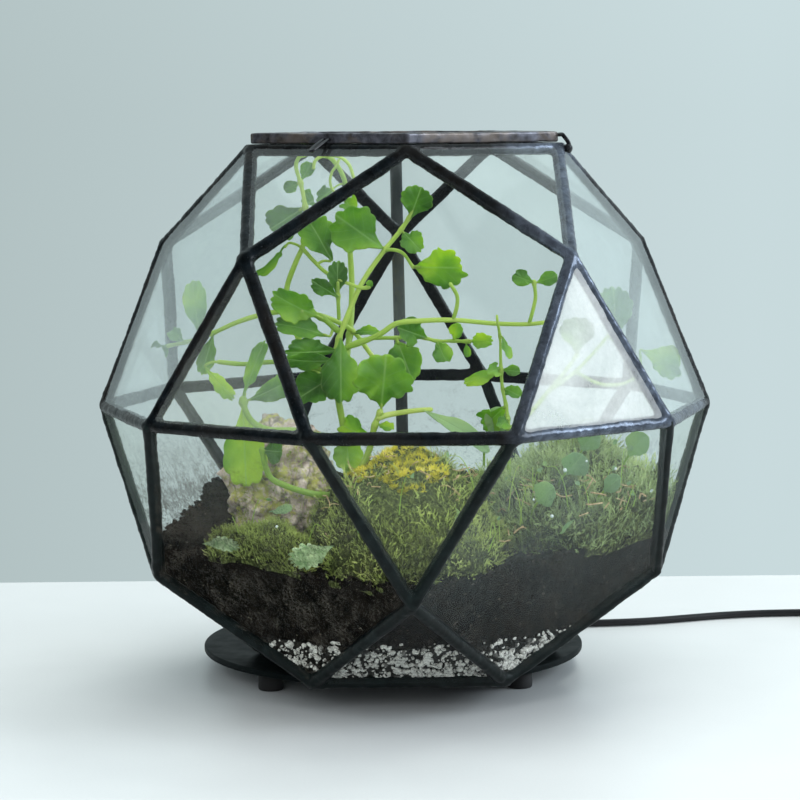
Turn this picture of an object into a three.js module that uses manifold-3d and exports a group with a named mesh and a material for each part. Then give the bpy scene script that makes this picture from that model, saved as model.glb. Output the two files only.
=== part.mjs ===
// Faceted glass terrarium (an icosidodecahedron of leaded panes with a hinged glass lid) standing on a round
// black lamp base, planted with moss, a stone and small green plants.
// Millimetres, +Z up. Built about the centre of the glass body, then set down so that z = 0 is the table.
import * as THREE from 'three';
import * as BufferGeometryUtils from 'three/addons/utils/BufferGeometryUtils.js';
import Module from 'manifold-3d';

const wasm = await Module();
wasm.setup();

// ---------------------------------------------------------------- driving dimensions
const R = 150;              // circumradius of the glass body, to the middle of the panes
const GLASS = 2.4;          // pane thickness
const GAP = 0.3;            // clearance between pieces that touch
const PANE_INSET = 1.2;     // from the edge line of the body to the edge of a pane, inside the came
const CAME_H = 2.4;         // half the came's thickness across the pane
const CAME_W = 3.3;         // how far a came flange reaches over a pane
const RIM_TOP = 129.2;      // flat upper face of the mouth's rim
const BODY_BOTTOM = -129.9; // flat lower face of the bottom cames
const LID_Z0 = 129.5, LID_H = 5.1, LID_R = 78, LID_RAIL = 5.6;
const HINGE_A = 65.2, HINGE_Z = 132.9;                 // hinge axis: distance from the body's axis, and height
const HINGE_DIR = 108;                                 // degrees from the front, towards the right
const TUBE_RO = 1.6, TUBE_RI = 1.3, ROD_R = 1.0, TUBE_L = 72;
const PULL_WIRE = 0.75, PULL_DIR = -36;
const DISC_X = -5.8, DISC_Y = 54.5, DISC_R = 98.5, DISC_T = 3.6;
const DISC_TOP = BODY_BOTTOM - GAP;
const TABLE = -142.2;                                  // the table's surface below the body's centre
const FOOT_R = 6.3, FOOT_AT = 88;
const POST_R = 3.3, POST_Y = 149.2;
const HEAD_R = 22, HEAD_Y = 108, HEAD_X = -1.2, HEAD_Z = 124.5, HEAD_H = 7;
const CORD_D = 4.0;
const COIL_X = 272, COIL_Y = 144.3, COIL_RO = 27.95, COIL_RI = 19.95, COIL_H = 16.2;
const SOIL_INSET = 3.1;     // soil solids keep clear of the cames inside
const DRAIN_TOP = -106;

// ---------------------------------------------------------------- planting, as centre lines and leaves
const STEMS = [
  ['m1', 'main', [[-28.0,-24.0,-66.0],[-28.5,-23.0,-50.0],[-29.1,-22.0,-36.4],[-29.0,-22.0,-22.6],[-30.9,-22.0,-7.8],[-33.2,-22.0,6.5],[-34.0,-22.0,21.8],[-32.9,-22.0,33.0],[-29.0,-20.0,43.6],[-21.0,-16.0,61.3],[-10.1,-12.0,76.7],[-2.1,-10.0,86.3],[1.8,-10.0,91.9],[4.3,-10.0,96.1]], 2.0, 1.0],
  ['m2', 'main', [[-30.1,-24.0,-35.6],[-22.3,-30.0,-28.0],[-17.8,-34.0,-17.2],[-15.8,-36.0,-7.7],[-12.9,-38.0,0.3]], 1.9, 1.3],
  ['m3', 'main', [[-33.2,-22.0,5.5],[-43.9,-16.0,17.8],[-53.6,-8.0,36.9],[-58.0,-4.0,52.4],[-57.9,-3.0,58.8],[-53.4,-4.0,71.2],[-50.3,-4.0,78.0],[-48.2,-6.0,87.9],[-48.6,-8.0,99.3],[-50.6,-10.0,110.1],[-52.7,-12.0,118.4],[-51.2,-14.0,122.6],[-47.7,-16.0,123.8]], 1.8, 0.9],
  ['m4', 'main', [[-32.4,-22.0,44.7],[-32.7,-24.0,55.1],[-32.7,-26.0,62.1]], 1.0, 0.8],
  ['m5', 'main', [[-33.2,-22.0,6.5],[-30.2,-8.0,16.9],[-27.0,6.0,36.5],[-25.9,12.0,56.1],[-26.7,12.0,76.0],[-28.0,8.0,98.1],[-28.9,4.0,110.1],[-32.8,0.0,118.5],[-36.6,-3.0,122.5],[-41.5,-6.0,123.4]], 1.9, 1.1],
  ['m6', 'main', [[-50.3,-4.0,78.0],[-44.9,-12.0,72.5],[-39.5,-18.0,67.5],[-33.1,-24.0,63.9],[-26.9,-26.0,61.5],[-21.1,-28.0,59.7],[-17.7,-28.0,60.1]], 1.1, 0.8],
  ['l1', 'main', [[-33.4,-22.0,38.9],[-40.6,-26.0,45.1],[-50.7,-30.0,48.9],[-64.2,-32.0,48.4],[-73.3,-32.0,46.5],[-82.6,-30.0,43.3],[-92.8,-26.0,38.5],[-100.7,-20.0,35.1],[-109.5,-13.0,32.3],[-116.7,-8.0,30.5]], 1.5, 0.9],
  ['l2', 'main', [[-50.6,-34.0,49.2],[-40.7,-12.0,45.0],[-32.5,-2.0,40.9],[-25.1,4.0,35.7],[-16.2,6.0,23.6],[-9.3,4.0,15.6]], 1.4, 1.1],
  ['l3', 'main', [[-37.0,-24.0,18.5],[-51.4,-30.0,23.1],[-64.4,-34.0,24.6],[-78.7,-38.0,24.1],[-90.2,-38.0,25.2]], 1.3, 1.1],
  ['r1', 'main', [[-33.5,-22.0,23.2],[-29.6,-22.0,29.6],[-22.2,-26.0,32.8],[-12.5,-30.0,37.4],[-4.5,-32.0,42.6],[7.5,-34.0,44.0],[22.7,-36.0,44.4],[43.3,-38.0,42.7],[59.1,-40.0,42.5],[68.1,-42.0,43.6]], 1.5, 1.0],
  ['r2', 'main', [[-29.1,-22.0,30.5],[-21.2,-16.0,33.4],[-12.4,-14.0,34.1],[-4.5,-14.0,34.1],[2.4,-14.0,34.5],[9.7,-14.0,33.9],[15.6,-14.0,32.4],[23.0,-14.0,32.4],[31.7,-16.0,32.2]], 1.0, 0.8],
  ['r3', 'main', [[59.1,-40.0,42.5],[61.0,-40.0,49.3],[62.2,-40.0,55.5],[61.5,-40.0,62.7]], 1.0, 0.8],
  ['r4', 'main', [[-10.1,-12.0,76.7],[-7.1,-13.0,77.4],[-1.3,-15.0,76.0],[3.9,-18.0,69.1]], 0.9, 0.8],
  ['r5', 'main', [[22.7,-36.0,44.4],[24.5,-38.0,51.3],[24.5,-40.0,56.3],[21.3,-42.0,62.2]], 1.0, 0.9],
  ['b1', 'main', [[-30.1,-24.0,-36.6],[-34.4,-46.0,-38.3],[-41.0,-60.0,-36.7],[-47.8,-68.0,-34.4],[-57.8,-72.0,-30.5],[-64.8,-74.0,-26.3],[-67.7,-74.0,-19.3],[-68.8,-74.0,-13.1]], 1.9, 1.3],
  ['b2', 'main', [[-40.8,-52.0,-6.5],[-47.4,-60.0,-6.0],[-54.6,-64.0,-5.2],[-65.5,-66.0,-4.6],[-73.3,-66.0,-0.8],[-77.2,-64.0,5.7],[-77.9,-62.0,9.3]], 1.9, 1.4],
  ['s1', 'right', [[50.0,-38.0,-64.0],[49.6,-39.0,-40.0],[49.3,-40.0,-16.5],[49.3,-40.0,-8.8],[47.9,-40.0,3.4],[46.3,-40.0,11.3],[45.5,-40.0,21.9],[45.1,-40.0,36.2],[43.6,-46.0,44.1],[43.3,-46.0,47.0]], 1.2, 0.6],
  ['t1', 'right', [[49.3,-40.0,-8.8],[59.6,-24.0,-3.4],[70.9,-4.0,5.7],[81.2,12.0,15.0],[87.4,20.0,21.8]], 1.3, 0.9],
  ['t2', 'right', [[70.9,-4.0,5.7],[85.4,8.0,14.4],[96.6,16.0,24.6],[105.0,20.0,33.8]], 1.1, 0.8],
  ['t3', 'right', [[85.4,8.0,14.4],[98.1,10.0,8.0],[109.4,13.0,7.6],[119.3,16.0,11.8]], 1.0, 0.8],
];
const LEAVES = [
  ['a1', 'main', [-50.4,-10.0,110.6], [-45.4,-8.0,120.0], 7.0, 10],
  ['a2', 'main', [-50.9,-10.0,110.3], [-58.4,-12.0,106.8], 6.5, -10],
  ['a3', 'main', [-48.8,-8.0,98.3], [-65.5,-2.0,87.4], 17.0, 15],
  ['a4', 'main', [-48.6,-8.0,98.8], [-43.8,2.0,101.9], 14.0, 0],
  ['a5', 'main', [-36.2,-10.0,71.9], [-46.1,-14.0,92.7], 18.0, -20],
  ['a6', 'main', [-11.0,-12.0,78.6], [-32.9,-22.0,94.3], 23.0, 10],
  ['a7', 'main', [-34.4,2.0,107.2], [-41.2,-6.0,102.1], 9.0, 20],
  ['a8', 'main', [-29.0,6.0,101.6], [-25.6,0.0,96.9], 9.0, 0],
  ['a9', 'main', [-56.9,-4.0,80.5], [-70.8,-14.0,64.5], 6.5, 60],
  ['b3', 'main', [-33.2,-25.0,55.2], [-32.6,-25.0,72.2], 9.5, 0],
  ['b4', 'main', [-32.7,-25.0,55.7], [-44.7,-34.0,63.2], 8.0, 20],
  ['b5', 'main', [-18.2,-28.0,59.7], [-16.7,-30.0,63.2], 3.5, 0],
  ['c1', 'main', [-40.6,-28.0,45.3], [-61.8,-44.0,56.3], 15.0, 20],
  ['c2', 'main', [-36.8,-24.0,36.1], [-61.2,-36.0,44.1], 13.0, -25],
  ['c3', 'main', [-34.0,-22.0,29.1], [-55.5,-40.0,29.4], 13.0, 10],
  ['c4', 'main', [-34.0,-23.0,24.3], [-56.3,-48.0,25.9], 10.0, 40],
  ['c5', 'main', [-31.5,-24.0,34.6], [-31.7,-36.0,6.6], 19.0, 0],
  ['c6', 'main', [-35.0,-22.0,16.4], [-52.1,-30.0,6.6], 17.0, -10],
  ['c7', 'main', [-12.4,-38.0,0.8], [-9.9,-46.0,27.7], 27.5, 0],
  ['c8', 'main', [-26.1,3.0,35.3], [-14.2,-6.0,37.4], 6.0, 40],
  ['d1', 'main', [-100.2,-21.0,35.4], [-104.1,-14.0,63.3], 11.5, 5],
  ['d2', 'main', [-107.9,-15.0,33.0], [-115.6,-8.0,38.4], 7.0, 0],
  ['d3', 'main', [-116.1,-9.0,30.6], [-122.7,0.0,29.8], 9.0, 70],
  ['d4', 'main', [-93.5,-26.0,38.2], [-98.1,-36.0,20.2], 8.5, 20],
  ['d5', 'main', [-97.2,-34.0,22.9], [-84.4,-44.0,8.4], 8.0, -30],
  ['e1', 'main', [-77.9,-62.0,8.8], [-68.9,-54.0,36.6], 9.0, 35],
  ['e2', 'main', [-77.5,-62.0,8.3], [-55.4,-50.0,16.9], 11.0, -20],
  ['e3', 'main', [-77.9,-63.0,7.0], [-76.9,-66.0,-30.7], 20.0, 0],
  ['e4', 'main', [-68.8,-74.0,-13.1], [-59.5,-74.0,-14.1], 12.0, 0],
  ['f1', 'main', [2.8,-10.0,92.2], [8.2,-12.0,107.3], 15.5, 0],
  ['f2', 'main', [-1.2,-10.0,86.3], [6.8,-24.0,78.6], 11.0, 0],
  ['f3', 'main', [3.9,-18.0,69.1], [27.1,-36.0,69.5], 19.0, -15],
  ['g1', 'main', [9.7,-14.0,34.4], [-3.3,-30.0,40.3], 14.0, 0],
  ['g2', 'main', [-4.5,-14.0,34.1], [2.4,-30.0,16.9], 16.0, 0],
  ['g3', 'main', [15.6,-14.0,32.4], [19.7,-22.0,23.3], 10.0, 0],
  ['g4', 'main', [23.5,-14.0,32.4], [25.7,-20.0,40.7], 7.0, 20],
  ['g5', 'main', [30.8,-16.0,32.5], [41.0,-26.0,33.3], 7.5, 0],
  ['g6', 'main', [29.8,-16.0,32.0], [30.8,-14.0,24.4], 3.6, 0],
  ['h1', 'main', [61.5,-40.0,62.3], [51.9,-44.0,66.4], 8.0, 0],
  ['h2', 'main', [62.0,-40.0,62.2], [72.4,-42.0,65.7], 7.0, 0],
  ['k1', 'main', [-29.9,-24.0,-10.0], [-27.6,-30.0,-28.9], 14.0, 0],
  ['k2', 'main', [-14.8,-36.0,-5.8], [-6.7,-40.0,-7.3], 7.0, 50],
  ['k3', 'main', [-16.8,-34.0,-13.8], [-32.3,-24.0,-7.0], 13.0, 10],
  ['s2', 'right', [45.9,-42.0,36.5], [49.2,-52.0,27.8], 6.5, 50],
  ['s3', 'right', [45.5,-40.0,20.4], [28.8,-48.0,15.1], 6.5, 15],
  ['s4', 'right', [45.5,-40.0,21.4], [39.6,-52.0,20.7], 7.0, 0],
  ['s5', 'right', [46.0,-40.0,20.4], [54.0,-44.0,20.2], 5.5, 10],
  ['s6', 'right', [46.5,-40.0,11.7], [53.7,-48.0,9.1], 7.5, 30],
  ['s7', 'right', [48.4,-40.0,3.4], [36.3,-20.0,-11.0], 13.0, 0],
  ['s8', 'right', [48.9,-40.0,-2.9], [44.2,-54.0,-5.6], 7.0, 0],
  ['n1', 'right', [87.4,20.0,21.8], [87.5,22.0,40.4], 17.0, 0],
  ['n2', 'right', [105.0,20.0,33.8], [108.1,26.0,54.6], 15.0, 0],
  ['n3', 'right', [119.3,16.0,11.8], [133.2,18.0,23.1], 13.0, 0],
];
// ---------------------------------------------------------------- helpers
const V3 = (x, y, z) => new THREE.Vector3(x, y, z);
const rad = THREE.MathUtils.degToRad;
const polar = (r, deg, z) => V3(r * Math.sin(rad(deg)), -r * Math.cos(rad(deg)), z);  // degrees from the front

function solid(geometry) {
  const g = geometry.clone();
  g.deleteAttribute('normal');
  g.deleteAttribute('uv');
  const m = BufferGeometryUtils.mergeVertices(g, 1e-4);
  return new wasm.Manifold(new wasm.Mesh({
    numProp: 3,
    vertProperties: new Float32Array(m.attributes.position.array),
    triVerts: new Uint32Array(m.index.array),
  }));
}
function geometryOf(man) {
  const mesh = man.getMesh();
  const g = new THREE.BufferGeometry();
  const n = mesh.vertProperties.length / mesh.numProp;
  const pos = new Float32Array(n * 3);
  for (let i = 0; i < n; i++) for (let k = 0; k < 3; k++) pos[i * 3 + k] = mesh.vertProperties[i * mesh.numProp + k];
  g.setAttribute('position', new THREE.BufferAttribute(pos, 3));
  g.setIndex(new THREE.BufferAttribute(new Uint32Array(mesh.triVerts), 1));
  g.computeVertexNormals();
  return g;
}
const volumeOf = (man) => (man.volume ? man.volume() : man.getProperties().volume);
function largest(man) {
  const parts = man.decompose();
  let best = parts[0];
  for (const p of parts) if (volumeOf(p) > volumeOf(best)) best = p;
  return best;
}
const joinAll = (list) => list.reduce((a, b) => a.add(b));
const basis = (x, y, z, o) => new THREE.Matrix4().makeBasis(x, y, z).setPosition(o);
const box = (x0, y0, z0, x1, y1, z1) => {
  const g = new THREE.BoxGeometry(x1 - x0, y1 - y0, z1 - z0);
  g.translate((x0 + x1) / 2, (y0 + y1) / 2, (z0 + z1) / 2);
  return g;
};
const shapeOf = (pts) => new THREE.Shape(pts.map(([x, y]) => new THREE.Vector2(x, y)));
const circle = (r, n) => {
  const p = [];
  for (let i = 0; i < n; i++) p.push([r * Math.cos((i / n) * 2 * Math.PI), r * Math.sin((i / n) * 2 * Math.PI)]);
  return shapeOf(p);
};
function outward(geometry) {
  // merged, with its faces pointing out
  const g = geometry.clone();
  g.deleteAttribute('normal');
  g.deleteAttribute('uv');
  const m = BufferGeometryUtils.mergeVertices(g, 1e-4);
  const p = m.attributes.position, t = m.index.array, a = V3(), b = V3(), c = V3();
  let v = 0;
  for (let i = 0; i < t.length; i += 3) {
    a.fromBufferAttribute(p, t[i]); b.fromBufferAttribute(p, t[i + 1]); c.fromBufferAttribute(p, t[i + 2]);
    v += a.dot(b.cross(c));
  }
  if (v < 0) for (let i = 0; i < t.length; i += 3) [t[i], t[i + 1]] = [t[i + 1], t[i]];
  m.computeVertexNormals();
  return m;
}
const rodAlong = (points, r, sides, steps) => outward(new THREE.ExtrudeGeometry(circle(r, sides), {
  steps, extrudePath: new THREE.CatmullRomCurve3(points, false, 'centripetal'),
}));
const turned = (profile, segments) => {
  // a closed or axis-to-axis (radius, height) profile turned about +Z
  const g = new THREE.LatheGeometry(profile.map(([r, z]) => new THREE.Vector2(r, z)), segments);
  g.rotateX(Math.PI / 2);
  return outward(g);
};

// ---------------------------------------------------------------- the body's corners, edges and faces
const ring = (r, z, degs) => degs.map((d) => polar(r * R, d, z * R));
const corners = [
  ...ring(0.5257311, 0.8506508, [0, 72, 144, 216, 288]),
  ...ring(0.8506508, 0.5257311, [36, 108, 180, 252, 324]),
  ...ring(1, 0, [18, 54, 90, 126, 162, 198, 234, 270, 306, 342]),
  ...ring(0.8506508, -0.5257311, [0, 72, 144, 216, 288]),
  ...ring(0.5257311, -0.8506508, [36, 108, 180, 252, 324]),
];
const faces = [];
for (let a = 0; a < 30; a++) for (let b = a + 1; b < 30; b++) for (let c = b + 1; c < 30; c++) {
  const n = V3().subVectors(corners[b], corners[a]).cross(V3().subVectors(corners[c], corners[a]));
  if (n.length() < 1) continue;
  n.normalize();
  let d = n.dot(corners[a]);
  if (d < 0) { n.negate(); d = -d; }
  if (corners.some((p) => p.dot(n) > d + 0.02)) continue;
  if (faces.some((f) => f.n.distanceTo(n) < 1e-2)) continue;
  const on = corners.map((p, i) => i).filter((i) => Math.abs(corners[i].dot(n) - d) < 0.02);
  const mid = V3();
  on.forEach((i) => mid.addScaledVector(corners[i], 1 / on.length));
  const u = V3().subVectors(corners[on[0]], mid).normalize();
  const v = V3().crossVectors(n, u);
  const turn = (i) => Math.atan2(V3().subVectors(corners[i], mid).dot(v), V3().subVectors(corners[i], mid).dot(u));
  on.sort((i, j) => turn(i) - turn(j));
  faces.push({ n, d, mid, u, v, on });
}
const topFace = faces.find((f) => f.n.z > 0.999);
const edges = new Map();
for (const f of faces) f.on.forEach((i, k) => {
  const j = f.on[(k + 1) % f.on.length];
  const key = i < j ? `${i}_${j}` : `${j}_${i}`;
  if (!edges.has(key)) edges.set(key, { a: Math.min(i, j), b: Math.max(i, j), faces: [] });
  edges.get(key).faces.push(f);
});

// a face's outline moved inwards by inset, in its own plane
function inset(face, by) {
  const pts = face.on.map((i) => {
    const w = V3().subVectors(corners[i], face.mid);
    return new THREE.Vector2(w.dot(face.u), w.dot(face.v));
  });
  const n = pts.length;
  const scale = 1 - by / (pts[0].length() * Math.cos(Math.PI / n));
  return pts.map((p) => [p.x * scale, p.y * scale]);
}
function paneGeometry(face, by, thickness) {
  const g = new THREE.ExtrudeGeometry(shapeOf(inset(face, by)), { depth: thickness, bevelEnabled: false });
  g.translate(0, 0, -thickness / 2);
  g.applyMatrix4(basis(face.u, face.v, face.n, face.mid));
  return g;
}
function paneName(f) {
  const k = f.on.length === 3 ? 'tri' : 'pent';
  const deg = (THREE.MathUtils.radToDeg(Math.atan2(f.mid.x, -f.mid.y)) + 360 + 0.01) % 360;
  const n = 1 + Math.round((deg - (Math.round(deg / 36) % 2 ? 36 : 0)) / 72);
  const z = f.n.z;
  if (z < -0.999) return 'glass_floor';
  const level = k === 'pent' ? (z > 0 ? 'upper' : 'lower')
    : z > 0.7 ? 'shoulder' : z > 0 ? 'belt_up' : z > -0.7 ? 'belt_down' : 'foot';
  return `glass_${level}_${k}_${n}`;
}

// ---------------------------------------------------------------- materials
const mat = (color, roughness, metalness, extra = {}) => new THREE.MeshStandardMaterial({ color, roughness, metalness, ...extra });
const glass = () => mat(0xdde9e4, 0.05, 0, { transparent: true, opacity: 0.3 });
const came = () => mat(0x1c2226, 0.45, 0.8);
const black = () => mat(0x16181b, 0.4, 0.1);

const group = new THREE.Group();
const put = (name, geometry, material, parent = body) => {
  const m = new THREE.Mesh(geometry, material);
  m.name = name;
  parent.add(m);
  return m;
};
const body = new THREE.Group();   // everything, about the glass body's centre
group.add(body);

// ---------------------------------------------------------------- panes
const openFaces = faces.filter((f) => f !== topFace);
for (const f of openFaces) put(paneName(f), paneGeometry(f, PANE_INSET, GLASS), glass());

// ---------------------------------------------------------------- came frame, soldered into one lattice
function interior(by) {
  // the body with each face moved inwards: a large block cut by every face
  let m = solid(box(-170, -170, -170, 170, 170, 170));
  for (const { n, d } of faces) {
    const u = Math.abs(n.z) < 0.9 ? V3(0, 0, 1).cross(n).normalize() : V3(0, 1, 0).cross(n).normalize();
    const v = V3().crossVectors(n, u);
    const g = new THREE.BoxGeometry(700, 700, 300);
    g.applyMatrix4(basis(u, v, n, n.clone().multiplyScalar(d - by + 150)));
    m = m.subtract(solid(g));
  }
  return m;
}
let cage = interior(-CAME_H).subtract(interior(CAME_H));
for (const f of faces) cage = cage.subtract(solid(paneGeometry(f, CAME_W, 9)));
for (const f of openFaces) cage = cage.subtract(solid(paneGeometry(f, PANE_INSET - GAP, GLASS + 2 * GAP)));
cage = cage.subtract(solid(box(-200, -200, RIM_TOP, 200, 200, 200)));
cage = cage.subtract(solid(box(-200, -200, -200, 200, 200, BODY_BOTTOM)));
put('came_frame', geometryOf(largest(cage)), came());

// ---------------------------------------------------------------- lid
const lid = new THREE.Group();
body.add(lid);
const penta = (r) => [0, 72, 144, 216, 288].map((d) => [polar(r, d, 0).x, polar(r, d, 0).y]);
const extrude = (shape, depth, z) => {
  const g = new THREE.ExtrudeGeometry(shape, { depth, bevelEnabled: false });
  g.translate(0, 0, z);
  return g;
};
const c36 = Math.cos(rad(36));
const lidGlassR = LID_R - 2.0 / c36, lidMid = LID_Z0 + LID_H / 2;
let lidFrame = solid(extrude(shapeOf(penta(LID_R)), LID_H, LID_Z0))
  .subtract(solid(extrude(shapeOf(penta(LID_R - LID_RAIL / c36)), LID_H + 4, LID_Z0 - 2)))
  .subtract(solid(extrude(shapeOf(penta(lidGlassR + GAP / c36)), GLASS + 2 * GAP, lidMid - GLASS / 2 - GAP)));
put('lid_glass', extrude(shapeOf(penta(lidGlassR)), GLASS, lidMid - GLASS / 2), glass(), lid);
put('lid_frame', geometryOf(lidFrame), came(), lid);

// hinge: a tube on the lid turns on a rod whose bent ends are fixed to two corners of the body
const hingeOut = polar(1, HINGE_DIR, 0), hingeAlong = V3(-hingeOut.y, hingeOut.x, 0).negate();
const hingeAt = (s, z = HINGE_Z) => hingeOut.clone().multiplyScalar(HINGE_A).addScaledVector(hingeAlong, s).setZ(z);
{
  const tube = turned([[TUBE_RI, -TUBE_L / 2], [TUBE_RO, -TUBE_L / 2], [TUBE_RO, TUBE_L / 2], [TUBE_RI, TUBE_L / 2], [TUBE_RI, -TUBE_L / 2]], 16);
  tube.applyMatrix4(basis(V3(0, 0, 1).cross(hingeAlong).normalize(), V3(0, 0, 1), hingeAlong.clone(), hingeAt(0)).clone());
  put('hinge_tube', tube, came(), lid);
  const end = (deg, s) => {
    const c = polar(0.5257311 * R, deg, 0.8506508 * R);
    const out = polar(1, deg, 0);
    return [hingeAt(s * 46.9), hingeAt(s * 48.0, HINGE_Z - 0.5), c.clone().addScaledVector(out, 4.4).setZ(129.2), c.clone().addScaledVector(out, 5.1).setZ(126.6)];
  };
  const e1 = end(72, 1), e2 = end(144, -1);
  const pts = [...e2.slice().reverse(), hingeAt(-40), hingeAt(-20), hingeAt(0), hingeAt(20), hingeAt(40), ...e1];
  put('hinge_rod', rodAlong(pts, ROD_R, 6, 26), came());
}
// pull: a hairpin of wire on the middle of the lid's front left edge
{
  const out = polar(1, PULL_DIR, 0), side = V3(-out.y, out.x, 0);
  const p = (o, s, z) => out.clone().multiplyScalar(o).addScaledVector(side, s).setZ(z);
  const a0 = LID_R * c36 + GAP + PULL_WIRE;
  const pts = [p(a0, 2.1, 131.4), p(a0 + 4, 2.0, 129.9), p(a0 + 9, 1.7, 127.6), p(a0 + 11.3, 1.1, 126.5), p(a0 + 12.0, 0, 126.2),
    p(a0 + 11.3, -1.1, 126.5), p(a0 + 9, -1.7, 127.6), p(a0 + 4, -2.0, 129.9), p(a0, -2.1, 131.4)];
  put('lid_pull', rodAlong(pts, PULL_WIRE, 6, 18), black(), lid);
}

// ---------------------------------------------------------------- lamp base, feet, post and head
{
  const g = turned([[0, 0], [DISC_R - 0.8, 0], [DISC_R, 0.8], [DISC_R, DISC_T - 0.8], [DISC_R - 0.8, DISC_T], [0, DISC_T]], 48);
  g.translate(DISC_X, DISC_Y, DISC_TOP - DISC_T);
  put('base_disc', g, black());
  const names = ['foot_front_left', 'foot_front_right', 'foot_rear_right', 'foot_rear_left'];
  [-45, 45, 135, 225].forEach((d, i) => {
    const h = DISC_TOP - DISC_T - GAP - TABLE;
    const f = turned([[0, 0], [FOOT_R - 0.6, 0], [FOOT_R, 0.6], [FOOT_R, h - 0.4], [FOOT_R - 0.4, h], [0, h]], 16);
    const p = polar(FOOT_AT, d, 0);
    f.translate(DISC_X + p.x, DISC_Y + p.y, TABLE);
    put(names[i], f, black());
  });
  const z0 = DISC_TOP + GAP;
  const pts = [V3(3.4, POST_Y, z0), V3(2.6, POST_Y, z0 + 40), V3(1.1, POST_Y, z0 + 120), V3(-0.4, POST_Y, z0 + 200), V3(-1.1, POST_Y, 112),
    V3(-1.15, POST_Y, 117.5), V3(-1.2, POST_Y - 1.6, 123), V3(-1.2, POST_Y - 5.6, 127), V3(-1.2, POST_Y - 11, 128), V3(-1.2, HEAD_Y + HEAD_R + 0.4, 128)];
  put('lamp_post', rodAlong(pts, POST_R, 10, 20), black());
  const head = turned([[0, 0], [0, 1.8]].slice(1).concat([[18.6, 1.8], [18.6, 0], [HEAD_R, 0], [HEAD_R, HEAD_H - 1.2], [HEAD_R - 1.2, HEAD_H], [0, HEAD_H]]), 24);
  head.translate(HEAD_X, HEAD_Y, HEAD_Z);
  put('lamp_head', head, black());
  const lens = turned([[0, 0.1], [17.8, 0.1], [18.2, 0.5], [18.2, 1.5], [0, 1.5]], 24);
  lens.translate(HEAD_X, HEAD_Y, HEAD_Z);
  put('lamp_lens', lens, mat(0xf4f2ea, 0.4, 0));
}

// ---------------------------------------------------------------- cord, its strain relief, coil and plug (heights above the table)
const T = (x, y, h) => V3(x, y, TABLE + h);
{
  const g = turned([[0, 0], [3.7, 0], [3.7, 7], [3.2, 7.8], [2.5, 24], [0, 24]], 16);
  g.rotateY(Math.PI / 2);
  g.translate(20, 141, TABLE + 4.3);
  put('strain_relief', g, black());
  const lead = [T(44.4, 141, 4.3), T(52, 141.1, 4.1), T(62, 141.4, 3.3), T(74, 142.1, 2.4), T(86, 143, 2.1), T(98, 144, 2.1), T(111, 145.1, 2.1),
    T(123, 146.5, 2.1), T(136, 148.9, 2.1), T(150, 153, 2.1), T(166, 158.8, 2.1), T(184, 164.6, 2.1), T(205, 168.6, 2.1), T(227, 169.9, 2.1), T(242, 170.2, 2.1), T(256, 170.25, 2.1)];
  put('cord', rodAlong(lead, CORD_D / 2, 8, 26), black());
  const coil = turned([[COIL_RI, 0.1], [COIL_RO, 0.1], [COIL_RO, 0.1 + COIL_H], [COIL_RI, 0.1 + COIL_H], [COIL_RI, 0.1]], 32);
  coil.translate(COIL_X, COIL_Y, TABLE);
  put('cord_coil', coil, black());
  const tail = [T(297.95, 128.4, 12.4), T(297.9, 118, 8.4), T(297.7, 108, 5.2), T(297.4, 99, 4.3), T(297.2, 92.2, 4.3)];
  put('cord_tail', rodAlong(tail, CORD_D / 2, 8, 8), black());
  // plug: moulded body with a tapered neck, and its metal shell
  const b = shapeOf([[-2.7, 0], [2.7, 0], [3.6, -6], [7.6, -10], [7.9, -12], [7.9, -33], [7.2, -34], [-7.2, -34], [-7.9, -33], [-7.9, -12], [-7.6, -10], [-3.6, -6]].reverse());
  const pb = extrude(b, 8, 0);
  pb.translate(297.1, 91.9, TABLE + 0.3);
  put('plug_body', pb, black());
  put('plug_shell', geometryOf(solid(box(-6, -18.75, 2.05, 6, 0, 6.55)).subtract(solid(box(-5.6, -20, 4.35, 5.6, -8, 6.15))))
    .translate(297.1, 91.9 - 34 - GAP, TABLE), mat(0xb8bcc0, 0.3, 1));
}

// ---------------------------------------------------------------- what the glass holds
const soilTop = (x, y) => -71 + 8 * (x / 110) ** 2 + 0.085 * (y + 126) + 1.6 * Math.sin(x * 0.05 + 1) * Math.cos(y * 0.06);
function field(height, lift, z0) {
  // the ground's surface as a solid down to z0, on a coarse grid
  const n = 11, s = 320 / (n - 1), pos = [], idx = [];
  for (let j = 0; j < n; j++) for (let i = 0; i < n; i++) {
    const x = -160 + i * s, y = -160 + j * s;
    pos.push(x, y, height(x, y) + lift);
  }
  for (let j = 0; j < n; j++) for (let i = 0; i < n; i++) pos.push(-160 + i * s, -160 + j * s, z0);
  const N = n * n, q = (a, b, c, d) => idx.push(a, b, c, a, c, d);
  for (let j = 0; j + 1 < n; j++) for (let i = 0; i + 1 < n; i++) {
    const a = j * n + i, b = a + 1, c = a + n + 1, d = a + n;
    q(a, b, c, d);
    q(N + a, N + d, N + c, N + b);
  }
  for (let i = 0; i + 1 < n; i++) {
    q(N + i, N + i + 1, i + 1, i);
    const t = (n - 1) * n + i;
    q(t, t + 1, N + t + 1, N + t);
    const l = i * n;
    q(l, l + n, N + l + n, N + l);
    const r = i * n + n - 1;
    q(N + r, N + r + n, r + n, r);
  }
  const g = new THREE.BufferGeometry();
  g.setAttribute('position', new THREE.Float32BufferAttribute(pos, 3));
  g.setIndex(idx);
  return solid(g);
}
const inner = interior(SOIL_INSET);
const drainage = inner.intersect(solid(box(-200, -200, -200, 200, 200, DRAIN_TOP)));
put('drainage_layer', geometryOf(drainage), mat(0xcfccc4, 0.9, 0));
const soil = inner.intersect(field(soilTop, 0, -170)).subtract(solid(box(-200, -200, -200, 200, 200, DRAIN_TOP + GAP)));
put('soil', geometryOf(largest(soil)), mat(0x2a221c, 1, 0));
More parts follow.
